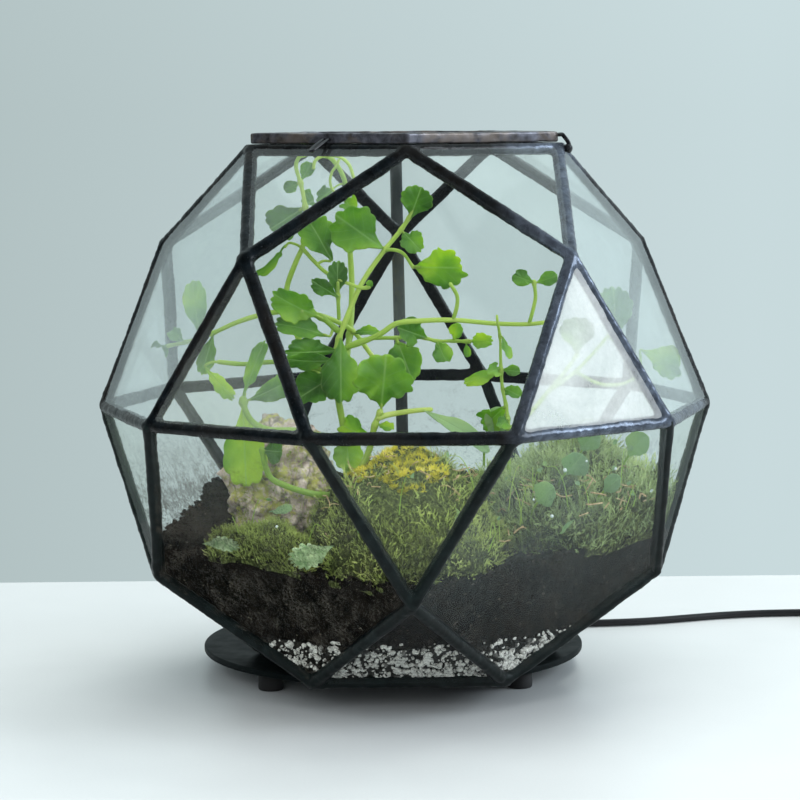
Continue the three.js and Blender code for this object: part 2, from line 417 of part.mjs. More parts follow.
const ground = field(soilTop, GAP, -170);   // what rests on the soil is cut with this

// stems and leaves: each plant is one solid
function nearest(p, lines) {
  let best = null, dist = 1e9;
  for (const l of lines) for (let i = 0; i + 1 < l.length; i++) {
    const c = new THREE.Line3(l[i], l[i + 1]).closestPointToPoint(p, true, V3());
    if (c.distanceTo(p) < dist) { dist = c.distanceTo(p); best = c; }
  }
  return { best, dist };
}
function plant(which, grow) {
  const parts = [], lines = [];
  for (const [, owner, pts, r0, r1] of STEMS) {
    if (owner !== which) continue;
    const p = pts.map((q) => V3(...q));
    if (lines.length) {
      const { best, dist } = nearest(p[0], lines);
      if (dist > 0.4) p.unshift(best);
      p.unshift(V3().subVectors(p[0], p[1]).normalize().multiplyScalar(0.8).add(p[0]));
    }
    const steps = Math.max(2, Math.round(p.length * 0.6));
    lines.push(new THREE.CatmullRomCurve3(p, false, 'centripetal').getSpacedPoints(steps));
    parts.push(solid(rodAlong(p, (r0 + r1) / 2 + grow, 4, steps)));
  }
  for (const [, owner, b, t, w, roll] of LEAVES) {
    if (owner !== which) continue;
    const E = V3(...t), { best } = nearest(V3(...b), lines);
    const B = best.clone().addScaledVector(V3().subVectors(best, E).normalize(), 0.6);
    const dir = V3().subVectors(E, B), L = dir.length();
    dir.normalize();
    const side = V3().crossVectors(dir, V3(0, -1, 0.15)).normalize().applyAxisAngle(dir, rad(roll));
    const n = V3().crossVectors(side, dir);
    const W = w / 2 + grow, th = 0.9 + 2 * grow;
    const shape = shapeOf([[0.8, -grow], [W, 0.6 * L], [0, L + grow], [-W, 0.6 * L], [-0.8, -grow]]);
    const g = new THREE.ExtrudeGeometry(shape, { depth: th, bevelEnabled: false });
    g.translate(0, 0, -th / 2);
    g.applyMatrix4(basis(side, dir, n, B));
    parts.push(solid(g));
  }
  return joinAll(parts);
}
const plantMain = largest(plant('main', 0).subtract(ground).intersect(interior(3.4).add(solid(box(-30, -30, 100, 30, 30, 100.1)))));
const plantRight = largest(plant('right', 0).subtract(ground).subtract(plant('main', GAP)));
const keepOff = plant('main', GAP + 0.05).add(plant('right', GAP + 0.05));

const lump = (cx, cy, cz, rx, ry, rz, detail, grow = 0, wob = 0) => {
  const g = new THREE.IcosahedronGeometry(1, detail);
  const p = g.attributes.position;
  for (let i = 0; i < p.count; i++) {
    const x = p.getX(i), y = p.getY(i), z = p.getZ(i);
    const k = 1 + wob * (Math.sin(5 * x + 1.3) * Math.cos(4 * y - 0.7) + 0.6 * Math.sin(6 * z + 2 * x));
    p.setXYZ(i, cx + x * (rx * k + grow), cy + y * (ry * k + grow), cz + z * (rz * k + grow));
  }
  return solid(g);
};
const STONE = [-60, -28, -36, 25, 20, 34, 2], CENTRE = [0, -52, -62, 46, 70, 42, 3], RIGHT = [85, -15, -58, 52, 62, 37, 3], LEFT = [-70, -74, -66, 27, 24, 17, 2];
const room = interior(3.4);
const stone = lump(...STONE, 0, 0.08).subtract(ground).subtract(keepOff);
put('stone', geometryOf(largest(stone.intersect(room))), mat(0x9c7f6c, 0.85, 0));
const stoneOff = lump(...STONE, GAP + 0.1, 0.08);
const centre = lump(...CENTRE, 0, 0.04).subtract(ground).subtract(keepOff).subtract(stoneOff);
put('moss_centre', geometryOf(largest(centre.intersect(room))), mat(0x6f7a2c, 1, 0));
const centreOff = lump(...CENTRE, GAP + 0.1, 0.04);
const right = lump(...RIGHT, 0, 0.04).subtract(ground).subtract(keepOff).subtract(centreOff);
put('moss_right', geometryOf(largest(right.intersect(room))), mat(0x5f7433, 1, 0));
const left = lump(...LEFT, 0, 0.04).subtract(ground).subtract(keepOff).subtract(centreOff).subtract(stoneOff);
put('moss_left', geometryOf(largest(left.intersect(room))), mat(0x7d8a34, 1, 0));
put('plant_main', geometryOf(plantMain), mat(0x5a9a32, 0.5, 0));
put('plant_right', geometryOf(plantRight), mat(0x6aa33a, 0.5, 0));

// ---------------------------------------------------------------- set the part down, its footprint centred on the origin
const loose = new Set(['cord', 'cord_coil', 'cord_tail', 'plug_body', 'plug_shell']);
const bounds = new THREE.Box3();
group.updateMatrixWorld(true);
group.traverse((o) => { if (o.isMesh && !loose.has(o.name)) bounds.expandByObject(o, true); });
body.position.set(-(bounds.min.x + bounds.max.x) / 2, -(bounds.min.y + bounds.max.y) / 2, -TABLE);

export default group;
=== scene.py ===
# Faceted leaded-glass terrarium on a round black lamp base: the surfaces, the planting and the cord.
import bpy, math
import numpy as np
from mathutils import Matrix, Vector


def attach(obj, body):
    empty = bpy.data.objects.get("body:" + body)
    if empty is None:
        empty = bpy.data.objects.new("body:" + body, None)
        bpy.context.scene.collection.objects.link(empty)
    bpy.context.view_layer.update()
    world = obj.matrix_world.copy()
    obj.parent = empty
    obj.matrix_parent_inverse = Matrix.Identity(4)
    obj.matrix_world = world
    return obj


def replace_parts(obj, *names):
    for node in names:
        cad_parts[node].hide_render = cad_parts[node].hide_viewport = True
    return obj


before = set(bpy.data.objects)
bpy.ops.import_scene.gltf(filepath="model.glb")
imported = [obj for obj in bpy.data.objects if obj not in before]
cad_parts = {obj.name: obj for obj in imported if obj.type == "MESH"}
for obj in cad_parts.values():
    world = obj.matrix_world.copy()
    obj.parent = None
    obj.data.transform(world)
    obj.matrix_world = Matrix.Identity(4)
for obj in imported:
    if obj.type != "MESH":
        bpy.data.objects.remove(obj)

scene = bpy.context.scene
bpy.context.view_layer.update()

# Lengths below are millimetres about the centre of the glass body; metres() sets them on the table.
SHIFT = np.array([0.0, -3.9159164, 142.2])
R = 150.0
TABLE = -142.2
def metres(p):
    return (np.asarray(p, float) + SHIFT) * 0.001

# ------------------------------------------------------------------ camera
F_PX, CAM_D, CAM_H = 2645.083, 8.718165, 0.964227
YAW, PITCH, ROLL, CAM_X = 0.018778, 0.108716, 0.0063584, -0.0165022
def camera():
    cp, sp = math.cos(PITCH), math.sin(PITCH)
    cr, sr = math.cos(ROLL), math.sin(ROLL)
    back = Matrix.Rotation(-YAW, 3, "Z")
    fwd, up, right = Vector((0, cp, -sp)), Vector((0, sp, cp)), Vector((1, 0, 0))
    x = back @ (right * cr - up * sr)
    y = back @ (right * sr + up * cr)
    z = back @ (-fwd)
    at = back @ (Vector((CAM_X, -CAM_D, CAM_H)) * R)
    data = bpy.data.cameras.new("camera")
    cam = bpy.data.objects.new("camera", data)
    scene.collection.objects.link(cam)
    data.sensor_width = 36.0
    data.lens = F_PX * 36.0 / 800.0
    data.clip_start, data.clip_end = 0.05, 60.0
    m = Matrix((x, y, z)).transposed().to_4x4()
    m.translation = Vector(metres(at))
    cam.matrix_world = m
    scene.camera = cam
    return cam
camera()

# ------------------------------------------------------------------ material writing
class Mat:
    def __init__(self, name):
        self.m = bpy.data.materials.new(name)
        self.m.use_nodes = True
        self.t = self.m.node_tree
        self.t.nodes.clear()
        self.out = self.t.nodes.new("ShaderNodeOutputMaterial")
        self.obj = self.t.nodes.new("ShaderNodeTexCoord").outputs["Object"]
    def put(self, socket, v):
        if isinstance(v, bpy.types.NodeSocket):
            self.t.links.new(v, socket)
        elif v is not None:
            socket.default_value = v
    def node(self, kind, **inputs):
        n = self.t.nodes.new(kind)
        for k, v in inputs.items():
            self.put(n.inputs[k], v)
        return n
    def scaled(self, by, vec=None):
        n = self.t.nodes.new("ShaderNodeVectorMath")
        n.operation = "MULTIPLY"
        self.put(n.inputs[0], vec or self.obj)
        n.inputs[1].default_value = by
        return n.outputs[0]
    def noise(self, scale, detail=4.0, rough=0.55, distort=0.0, vec=None):
        n = self.node("ShaderNodeTexNoise", Scale=scale, Detail=detail, Roughness=rough, Distortion=distort)
        self.put(n.inputs["Vector"], vec or self.obj)
        return n.outputs[0]
    def cells(self, scale, feature="F1", rand=1.0, vec=None, out=0):
        n = self.t.nodes.new("ShaderNodeTexVoronoi")
        n.feature = feature
        n.inputs["Scale"].default_value = scale
        n.inputs["Randomness"].default_value = rand
        self.put(n.inputs["Vector"], vec or self.obj)
        return n.outputs[out]
    def ramp(self, fac, stops, interp="LINEAR"):
        n = self.t.nodes.new("ShaderNodeValToRGB")
        n.color_ramp.interpolation = interp
        e = n.color_ramp.elements
        while len(e) < len(stops):
            e.new(0.5)
        for el, (pos, col) in zip(e, stops):
            el.position = pos
            el.color = (*col, 1.0) if isinstance(col, (tuple, list)) else (col, col, col, 1.0)
        self.put(n.inputs[0], fac)
        return n.outputs[0]
    def math(self, op, a, b=None, c=None, clamp=False):
        n = self.t.nodes.new("ShaderNodeMath")
        n.operation, n.use_clamp = op, clamp
        for s, v in zip(n.inputs, (a, b, c)):
            self.put(s, v)
        return n.outputs[0]
    def mix(self, fac, a, b, blend="MIX"):
        n = self.t.nodes.new("ShaderNodeMix")
        n.data_type, n.blend_type = "RGBA", blend
        self.put(n.inputs[0], fac)
        for i, v in ((6, a), (7, b)):
            self.put(n.inputs[i], (*v, 1.0) if isinstance(v, tuple) and len(v) == 3 else v)
        return n.outputs[2]
    def bump(self, height, strength=0.5, distance=0.0005, normal=None):
        n = self.node("ShaderNodeBump", Strength=strength, Distance=distance, Height=height)
        self.put(n.inputs["Normal"], normal)
        return n.outputs[0]
    def attr(self, name, out="Fac"):
        n = self.t.nodes.new("ShaderNodeAttribute")
        n.attribute_name = name
        return n.outputs[out]
    def split(self, v):
        n = self.t.nodes.new("ShaderNodeSeparateXYZ")
        self.put(n.inputs[0], v)
        return n.outputs
    def principled(self, color, rough, metal=0.0, normal=None, **more):
        n = self.t.nodes.new("ShaderNodeBsdfPrincipled")
        self.put(n.inputs["Base Color"], (*color, 1.0) if isinstance(color, tuple) and len(color) == 3 else color)
        self.put(n.inputs["Roughness"], rough)
        self.put(n.inputs["Metallic"], metal)
        self.put(n.inputs["Normal"], normal)
        for k, v in more.items():
            self.put(n.inputs[k.replace("_", " ")], v)
        return n.outputs[0]
    def blend(self, fac, a, b):
        n = self.t.nodes.new("ShaderNodeMixShader")
        self.put(n.inputs[0], fac)
        self.t.links.new(a, n.inputs[1])
        self.t.links.new(b, n.inputs[2])
        return n.outputs[0]
    def done(self, shader):
        self.t.links.new(shader, self.out.inputs["Surface"])
        return self.m

def remap(m, v, lo, hi, a=0.0, b=1.0):
    n = m.t.nodes.new("ShaderNodeMapRange")
    n.clamp = True
    m.put(n.inputs[0], v)
    for s, x in zip(n.inputs[1:5], (lo, hi, a, b)):
        s.default_value = x
    return n.outputs[0]

# ------------------------------------------------------------------ shape writing
_table = np.random.default_rng(11).standard_normal((32, 32, 32))
def value_noise(p, size, seed=0):
    q = np.asarray(p, float) / size + seed * 7.31
    i = np.floor(q).astype(int)
    f = q - i
    f = f * f * (3 - 2 * f)
    out = np.zeros(len(q))
    for dx in (0, 1):
        for dy in (0, 1):
            for dz in (0, 1):
                w = (f[:, 0] if dx else 1 - f[:, 0]) * (f[:, 1] if dy else 1 - f[:, 1]) * (f[:, 2] if dz else 1 - f[:, 2])
                out += w * _table[(i[:, 0] + dx) % 32, (i[:, 1] + dy) % 32, (i[:, 2] + dz) % 32]
    return out
def fractal(p, size, octaves=3, seed=0, fall=0.5):
    out, amp = np.zeros(len(p)), 1.0
    for k in range(octaves):
        out += amp * value_noise(p, size / 2 ** k, seed + k)
        amp *= fall
    return out

class Bag:
    """Gathers vertices, faces and a tone for each vertex."""
    def __init__(self):
        self.v, self.q, self.t, self.tone, self.uv, self.n = [], [], [], [], [], 0
    def add(self, v, quads=None, tris=None, tone=0.5, uv=None):
        v = np.asarray(v, float).reshape(-1, 3)
        if quads is not None and len(quads):
            self.q.append(np.asarray(quads, int).reshape(-1, 4) + self.n)
        if tris is not None and len(tris):
            self.t.append(np.asarray(tris, int).reshape(-1, 3) + self.n)
        self.v.append(v)
        self.tone.append(np.broadcast_to(np.asarray(tone, float), (len(v),)))
        self.uv.append(np.zeros((len(v), 3)) if uv is None else np.asarray(uv, float))
        self.n += len(v)
    def verts(self):
        return np.concatenate(self.v)

def build(name, bag, material, body="terrarium", replaces=(), smooth=True, verts=None):
    v = metres(bag.verts() if verts is None else verts)
    me = bpy.data.meshes.new(name)
    parts = ([np.concatenate(bag.q)] if bag.q else []) + ([np.concatenate(bag.t)] if bag.t else [])
    loops = np.concatenate([p.ravel() for p in parts])
    counts = np.concatenate([np.full(len(p), p.shape[1]) for p in parts])
    starts = np.concatenate([[0], np.cumsum(counts)[:-1]])
    me.vertices.add(len(v))
    me.vertices.foreach_set("co", v.astype(np.float32).ravel())
    me.loops.add(len(loops))
    me.loops.foreach_set("vertex_index", loops.astype(np.int32))
    me.polygons.add(len(counts))
    me.polygons.foreach_set("loop_start", starts.astype(np.int32))
    me.update(calc_edges=True)
    me.polygons.foreach_set("use_smooth", np.full(len(counts), smooth))
    a = me.attributes.new("tone", "FLOAT", "POINT")
    a.data.foreach_set("value", np.concatenate(bag.tone).astype(np.float32))
    if any(u.any() for u in bag.uv):
        a = me.attributes.new("own", "FLOAT_VECTOR", "POINT")
        a.data.foreach_set("vector", np.concatenate(bag.uv).astype(np.float32).ravel())
    me.update()
    me.materials.append(material)
    o = bpy.data.objects.new(name, me)
    scene.collection.objects.link(o)
    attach(o, body)
    if replaces:
        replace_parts(o, *replaces)
    return o

def grid_faces(n, m, wrap_m=True, flip=False):
    """Quads of n rings of m points."""
    i, j = np.meshgrid(np.arange(n - 1), np.arange(m if wrap_m else m - 1), indexing="ij")
    i, j = i.ravel(), j.ravel()
    k = (j + 1) % m
    q = np.stack([i * m + j, i * m + k, (i + 1) * m + k, (i + 1) * m + j], 1)
    return q[:, ::-1] if flip else q

def unit(v):
    v = np.asarray(v, float)
    return v / np.maximum(np.linalg.norm(v, axis=-1, keepdims=True), 1e-12)

def catmull(points, step):
    """A smooth line through the points, about a step apart."""
    p = np.asarray(points, float)
    p = np.concatenate([[2 * p[0] - p[1]], p, [2 * p[-1] - p[-2]]])
    out = []
    for i in range(1, len(p) - 2):
        p0, p1, p2, p3 = p[i - 1:i + 3]
        t = [0.0]
        for a, b in ((p0, p1), (p1, p2), (p2, p3)):
            t.append(t[-1] + max(np.linalg.norm(b - a), 1e-6) ** 0.5)
        k = max(2, int(math.ceil(np.linalg.norm(p2 - p1) / step)))
        s = np.linspace(t[1], t[2], k, endpoint=False)[:, None]
        a1 = (t[1] - s) / (t[1] - t[0]) * p0 + (s - t[0]) / (t[1] - t[0]) * p1
        a2 = (t[2] - s) / (t[2] - t[1]) * p1 + (s - t[1]) / (t[2] - t[1]) * p2
        a3 = (t[3] - s) / (t[3] - t[2]) * p2 + (s - t[2]) / (t[3] - t[2]) * p3
        b1 = (t[2] - s) / (t[2] - t[0]) * a1 + (s - t[0]) / (t[2] - t[0]) * a2
        b2 = (t[3] - s) / (t[3] - t[1]) * a2 + (s - t[1]) / (t[3] - t[1]) * a3
        out.append((t[2] - s) / (t[2] - t[1]) * b1 + (s - t[1]) / (t[2] - t[1]) * b2)
    return np.concatenate(out + [p[-2:-1]])

def tube(bag, line, radius, sides=12, tone=0.5, flat=None, cap=True, rounded=True):
    """A closed tube along a line. radius is a number or one for each point."""
    line = np.asarray(line, float)
    n = len(line)
    r = np.broadcast_to(np.asarray(radius, float), (n,)).copy()
    if rounded:  # ends that close in a small dome
        d0, d1 = unit(line[0] - line[1]), unit(line[-1] - line[-2])
        a, b = r[0], r[-1]
        head = np.array([line[0] + d0 * a * s for s in (0.95, 0.7, 0.35)])
        tail = np.array([line[-1] + d1 * b * s for s in (0.35, 0.7, 0.95)])
        line = np.concatenate([head, line, tail])
        r = np.concatenate([[a * 0.3, a * 0.71, a * 0.94], r, [b * 0.94, b * 0.71, b * 0.3]])
        n = len(line)
    d = unit(np.gradient(line, axis=0))
    u = np.cross(d[0], (0.0, 0.0, 1.0))
    if np.linalg.norm(u) < 0.1:
        u = np.cross(d[0], (0.0, 1.0, 0.0))
    us = [unit(u)]
    for i in range(1, n):
        w = us[-1] - d[i] * np.dot(us[-1], d[i])
        us.append(unit(w))
    us = np.array(us)
    vs = np.cross(d, us)
    a = np.linspace(0, 2 * np.pi, sides, endpoint=False)
    pts = line[:, None] + r[:, None, None] * (np.cos(a)[None, :, None] * us[:, None] + np.sin(a)[None, :, None] * vs[:, None])
    v = np.concatenate([pts.reshape(-1, 3), line[:1], line[-1:]])
    q = grid_faces(n, sides)
    j = np.arange(sides)
    k = (j + 1) % sides
    c0, c1 = n * sides, n * sides + 1
    tris = np.concatenate([np.stack([np.full(sides, c0), k, j], 1), np.stack([np.full(sides, c1), (n - 1) * sides + j, (n - 1) * sides + k], 1)]) if cap else None
    t = np.broadcast_to(np.asarray(tone, float), (len(v),))
    uv = np.zeros((len(v), 3))
    along = np.concatenate([[0], np.cumsum(np.linalg.norm(np.diff(line, axis=0), axis=1))])
    uv[:n * sides, 0] = np.repeat(along, sides)
    bag.add(v, q, tris, tone=t, uv=uv)

def lathe(bag, profile, at=(0, 0, 0), sides=96, axis="z", tone=0.5):
    """A (radius, height) profile, axis to axis or closed on itself, turned about +Z or +X through a point."""
    p = np.asarray(profile, float)
    closed = p[0][0] > 1e-6
    if closed and np.allclose(p[0], p[-1]):
        p = p[:-1]
    a = np.linspace(0, 2 * np.pi, sides, endpoint=False)
    n = len(p)
    pts = np.stack([p[:, 0][:, None] * np.cos(a), p[:, 0][:, None] * np.sin(a), np.broadcast_to(p[:, 1][:, None], (n, sides))], -1)
    if axis == "x":
        pts = np.stack([pts[..., 2], pts[..., 0], pts[..., 1]], -1)
    v = pts.reshape(-1, 3) + np.asarray(at, float)
    q = grid_faces(n, sides)
    if closed:
        j = np.arange(sides)
        k = (j + 1) % sides
        q = np.concatenate([q, np.stack([(n - 1) * sides + j, (n - 1) * sides + k, k, j], 1)])
    bag.add(v, q, tone=tone)

def rounded(corners, r, steps=5):
    """A polyline's inner corners cut round with radius r."""
    p = [np.asarray(c, float) for c in corners]
    out = [p[0]]
    for a, b, c in zip(p, p[1:], p[2:]):
        u, w = unit(a - b), unit(c - b)
        turn = math.acos(max(-1, min(1, float(np.dot(u, w)))))
        k = min(r / math.tan(turn / 2), np.linalg.norm(a - b) * 0.45, np.linalg.norm(c - b) * 0.45)
        for s in np.linspace(0, 1, steps):
            out.append((1 - s) ** 2 * (b + u * k) + 2 * s * (1 - s) * b + s ** 2 * (b + w * k))
    return out + [p[-1]]

# ------------------------------------------------------------------ the body's corners, faces and edges
def polar(r, deg, z):
    a = math.radians(deg)
    return np.array([r * math.sin(a), -r * math.cos(a), z])
corners = np.array([polar(r * R, d, z * R) for r, z, degs in (
    (0.5257311, 0.8506508, (0, 72, 144, 216, 288)), (0.8506508, 0.5257311, (36, 108, 180, 252, 324)),
    (1, 0, (18, 54, 90, 126, 162, 198, 234, 270, 306, 342)), (0.8506508, -0.5257311, (0, 72, 144, 216, 288)),
    (0.5257311, -0.8506508, (36, 108, 180, 252, 324))) for d in degs])
normals, dists, rims = [], [], []
for i in range(30):
    for j in range(i + 1, 30):
        for k in range(j + 1, 30):
            n = np.cross(corners[j] - corners[i], corners[k] - corners[i])
            if np.linalg.norm(n) < 1:
                continue
            n = unit(n)
            d = float(n @ corners[i])
            if d < 0:
                n, d = -n, -d
            if (corners @ n > d + 0.02).any() or any(np.linalg.norm(n - m) < 1e-2 for m in normals):
                continue
            on = [c for c in range(30) if abs(corners[c] @ n - d) < 0.02]
            mid = corners[on].mean(0)
            u = unit(corners[on[0]] - mid)
            w = np.cross(n, u)
            on.sort(key=lambda c: math.atan2((corners[c] - mid) @ w, (corners[c] - mid) @ u))
            normals.append(n), dists.append(d), rims.append(on)
normals, dists = np.array(normals), np.array(dists)
edges = {}
for f, on in enumerate(rims):
    for a, b in zip(on, on[1:] + on[:1]):
        edges.setdefault((min(a, b), max(a, b)), []).append(f)

def inside(p, off):
    """Points pushed in until they are at least off behind every pane's middle."""
    p = np.array(p, float)
    for _ in range(4):
        for n, d in zip(normals, dists):
            s = p @ n - (d - off)
            hit = s > 0
            p[hit] -= s[hit, None] * n
    return p
def room(p):
    """How far points are behind the nearest pane's middle; negative outside."""
    return (dists[None] - np.asarray(p) @ normals.T).min(1)
def wall(theta, z, off):
    """How far from the body's axis the pane's inner side is, in a direction and at a height."""
    d = np.stack([np.sin(theta), -np.cos(theta)], -1)
    out = np.full(np.shape(theta), 1e9)
    for n, dd in zip(normals, dists):
        k = d @ n[:2]
        r = np.where(k > 1e-4, (dd - off - n[2] * z) / np.maximum(k, 1e-4), 1e9)
        out = np.minimum(out, r)
    return out
def soil_top(x, y):
    return -71 + 8 * (x / 110) ** 2 + 0.085 * (y + 126) + 1.6 * np.sin(x * 0.05 + 1) * np.cos(y * 0.06)

# ------------------------------------------------------------------ table, air and light
def stage():
    m = Mat("table_top")
    n, f = m.noise(14, 4, 0.5), m.noise(900, 3, 0.5)
    col = m.mix(m.ramp(n, [(0.3, 0.0), (0.7, 1.0)]), (0.445, 0.467, 0.475), (0.465, 0.487, 0.495))
    top = m.done(m.principled(col, m.ramp(f, [(0.3, 0.34), (0.8, 0.42)]), 0.0, m.bump(f, 0.05, 0.0001), Specular_IOR_Level=0.35))
    # a slab with a rounded edge
    hx, y0, y1, th, r = 1.1, -1.2, 0.303, 0.03, 0.004
    prof = [(-r * (1 - math.sin(a)), -r * (1 - math.cos(a))) for a in np.linspace(0, math.pi / 2, 5)]
    rings = []
    for ins, z in [(0.0, 0.0)] * 0 + [(r * (1 - math.sin(a)), -r * (1 - math.cos(a))) for a in np.linspace(0, math.pi / 2, 6)] + [(0.0, -th)]:
        rings.append([(-hx + ins, y0 + ins, z), (hx - ins, y0 + ins, z), (hx - ins, y1 - ins, z), (-hx + ins, y1 - ins, z)])
    v = np.array(rings).reshape(-1, 3)
    me = bpy.data.meshes.new("table")
    k = len(rings)
    faces = [(i * 4 + j, i * 4 + (j + 1) % 4, (i + 1) * 4 + (j + 1) % 4, (i + 1) * 4 + j) for i in range(k - 1) for j in range(4)]
    me.from_pydata([tuple(p) for p in v], [], [(3, 2, 1, 0)] + [tuple(reversed(q)) for q in faces] + [tuple((k - 1) * 4 + j for j in range(4))])
    me.update()
    me.materials.append(top)
    o = bpy.data.objects.new("table", me)
    scene.collection.objects.link(o)

    w = bpy.data.worlds.new("air")
    scene.world = w
    w.use_nodes = True
    t = w.node_tree
    t.nodes.clear()
    sep = t.nodes.new("ShaderNodeSeparateXYZ")
    t.links.new(t.nodes.new("ShaderNodeTexCoord").outputs["Generated"], sep.inputs[0])
    def band(axis, lo, hi, stops):
        mr = t.nodes.new("ShaderNodeMapRange")
        mr.inputs[1].default_value, mr.inputs[2].default_value = lo, hi
        t.links.new(sep.outputs[axis], mr.inputs[0])
        r = t.nodes.new("ShaderNodeValToRGB")
        e = r.color_ramp.elements
        while len(e) < len(stops):
            e.new(0.5)
        for el, (pos, col) in zip(e, stops):
            el.position, el.color = pos, (*col, 1)
        t.links.new(mr.outputs[0], r.inputs[0])
        return r.outputs[0]
    def times(a, b):
        mix = t.nodes.new("ShaderNodeMix")
        mix.data_type, mix.blend_type = "RGBA", "MULTIPLY"
        mix.inputs[0].default_value = 1.0
        t.links.new(a, mix.inputs[6])
        t.links.new(b, mix.inputs[7])
        return mix.outputs[2]
    # a pale wall behind, brighter to the right; the room in front darker; a lighter ceiling
    wall_c = band(0, -0.30, 0.30, [(0.25, (0.44, 0.53, 0.535)), (0.75, (0.58, 0.70, 0.72))])
    depth = band(1, -1, 1, [(0.25, (0.17, 0.17, 0.18)), (0.42, (0.30, 0.30, 0.31)), (0.62, (1, 1, 1))])
    above = band(2, -1, 1, [(0.5, (1, 1, 1)), (0.95, (1.5, 1.5, 1.5))])
    glow = band(0, 0, 1, [(0.45, (0, 0, 0)), (0.85, (0.52, 0.58, 0.68))])   # daylight from the right
    add = t.nodes.new("ShaderNodeMix")
    add.data_type, add.blend_type = "RGBA", "ADD"
    add.inputs[0].default_value = 1.0
    t.links.new(times(times(wall_c, depth), above), add.inputs[6])
    t.links.new(glow, add.inputs[7])
    bg = t.nodes.new("ShaderNodeBackground")
    t.links.new(add.outputs[2], bg.inputs["Color"])
    out = t.nodes.new("ShaderNodeOutputWorld")
    t.links.new(bg.outputs[0], out.inputs["Surface"])

    def area(name, at, to, size, power, color):
        d = bpy.data.lights.new(name, "AREA")
        d.shape, d.size, d.size_y = "RECTANGLE", size[0], size[1]
        d.energy, d.color = power, color
        o = bpy.data.objects.new(name, d)
        o.location = at
        o.rotation_euler = (Vector(to) - Vector(at)).to_track_quat("-Z", "Y").to_euler()
        scene.collection.objects.link(o)
        o.visible_camera = False
        return o
    area("window", (1.95, -0.42, 1.08), (0, 0, 0.14), (0.95, 0.85), 26, (0.87, 0.94, 1.0))
    top = area("light_above", (0.12, -0.62, 2.0), (0, 0, 0.1), (1.9, 1.7), 38, (1.0, 1.0, 0.98))
    top.visible_glossy = False
    back = area("light_behind", (0.55, 0.75, 1.75), (0, 0, 0.12), (0.8, 0.8), 21, (1.0, 1.0, 0.95))
    back.visible_glossy = False
    front = area("light_front", (-0.15, -1.75, 0.95), (0, -0.1, 0.08), (2.4, 1.3), 32, (0.97, 0.99, 1.0))
    front.visible_glossy = False
    side = area("light_left", (-1.5, 0.2, 1.0), (0, 0, 0.12), (1.0, 1.0), 3.5, (0.95, 0.98, 1.0))
    side.visible_glossy = False
stage()
scene.view_settings.view_transform = "Standard"
scene.cycles.transparent_max_bounces = 40
scene.cycles.max_bounces = 12

# ------------------------------------------------------------------ materials
def came_material(name, dark=(0.010, 0.012, 0.015), light=(0.050, 0.060, 0.072), brown=0.25, rough=(0.30, 0.52), metal=0.55, patch=None, spec=0.3, relief=0.55, right_front_highlight=None):
    m = Mat(name)
    fine = m.noise(900, 5, 0.6)
    mid = m.noise(170, 5, 0.6, 0.4)
    big = m.noise(28, 3, 0.5)
    col = m.mix(m.ramp(mid, [(0.35, 0.0), (0.72, 1.0)]), dark, light)
    col = m.mix(m.math("MULTIPLY", m.ramp(big, [(0.45, 0.0), (0.62, 1.0)]), brown), col, (0.016, 0.012, 0.009))
    specks = m.ramp(m.noise(1500, 2, 0.5), [(0.66, 0.0), (0.74, 1.0)])
    col = m.mix(m.math("MULTIPLY", specks, 0.22), col, (0.10, 0.11, 0.12))
    if patch:
        where = m.ramp(m.noise(patch[0], 4, 0.6, 0.6), [(0.46, 0.0), (0.58, 1.0)])
        col = m.mix(m.math("MULTIPLY", where, patch[2]), col, patch[1])
    r = m.ramp(m.noise(120, 5, 0.65), [(0.3, rough[0]), (0.75, rough[1])])
    if right_front_highlight:   # a painted highlight: the leads at the right front get a lighter, bluer colour and more metal, standing in for the window's reflection
        x, y, _ = m.split(m.obj)
        where = m.math("MULTIPLY", remap(m, x, 0.040, 0.066), remap(m, y, -0.008, -0.030))
        where = m.math("MULTIPLY", where, m.ramp(m.noise(240, 4, 0.6, 0.4), [(0.30, 0.55), (0.62, 1.0)]))
        col = m.mix(where, col, m.mix(m.ramp(mid, [(0.35, 0.0), (0.72, 1.0)]), right_front_highlight[0], right_front_highlight[1]))
        metal = m.math("ADD", metal, m.math("MULTIPLY", where, right_front_highlight[2]))
    h = m.math("ADD", m.math("MULTIPLY", mid, 0.6), m.math("MULTIPLY", fine, 0.25))
    n = m.bump(h, relief, 0.0006)
    return m.done(m.principled(col, r, metal, n, Coat_Weight=0.04, Coat_Roughness=0.15, Specular_IOR_Level=spec))

def plastic(name, color, rough=0.42, grain=2200, depth=0.00008, sheen=0.0, dust=0.0, spec=0.4):
    m = Mat(name)
    n = m.noise(grain, 3, 0.6)
    big = m.noise(40, 4, 0.6)
    c = m.mix(m.ramp(big, [(0.3, 0.0), (0.8, 1.0)]), color, tuple(min(1.0, x * 1.4 + 0.003) for x in color))
    if dust:
        d = m.ramp(m.noise(700, 4, 0.7), [(0.55, 0.0), (0.8, 1.0)])
        c = m.mix(m.math("MULTIPLY", d, dust), c, (0.22, 0.23, 0.24))
    r = m.ramp(m.noise(90, 4, 0.6), [(0.25, rough - 0.07), (0.8, rough + 0.1)])
    return m.done(m.principled(c, r, 0.0, m.bump(n, 0.35, depth), Sheen_Weight=sheen, Specular_IOR_Level=spec))

CORD = plastic("cord_jacket", (0.006, 0.006, 0.007), 0.40, 1600, 0.00004, spec=0.3)
PLUG = plastic("plug_moulding", (0.016, 0.016, 0.018), 0.5, 2600, 0.0001)
TIE = plastic("tie_strap", (0.02, 0.02, 0.022), 0.6, 3000, 0.0002)

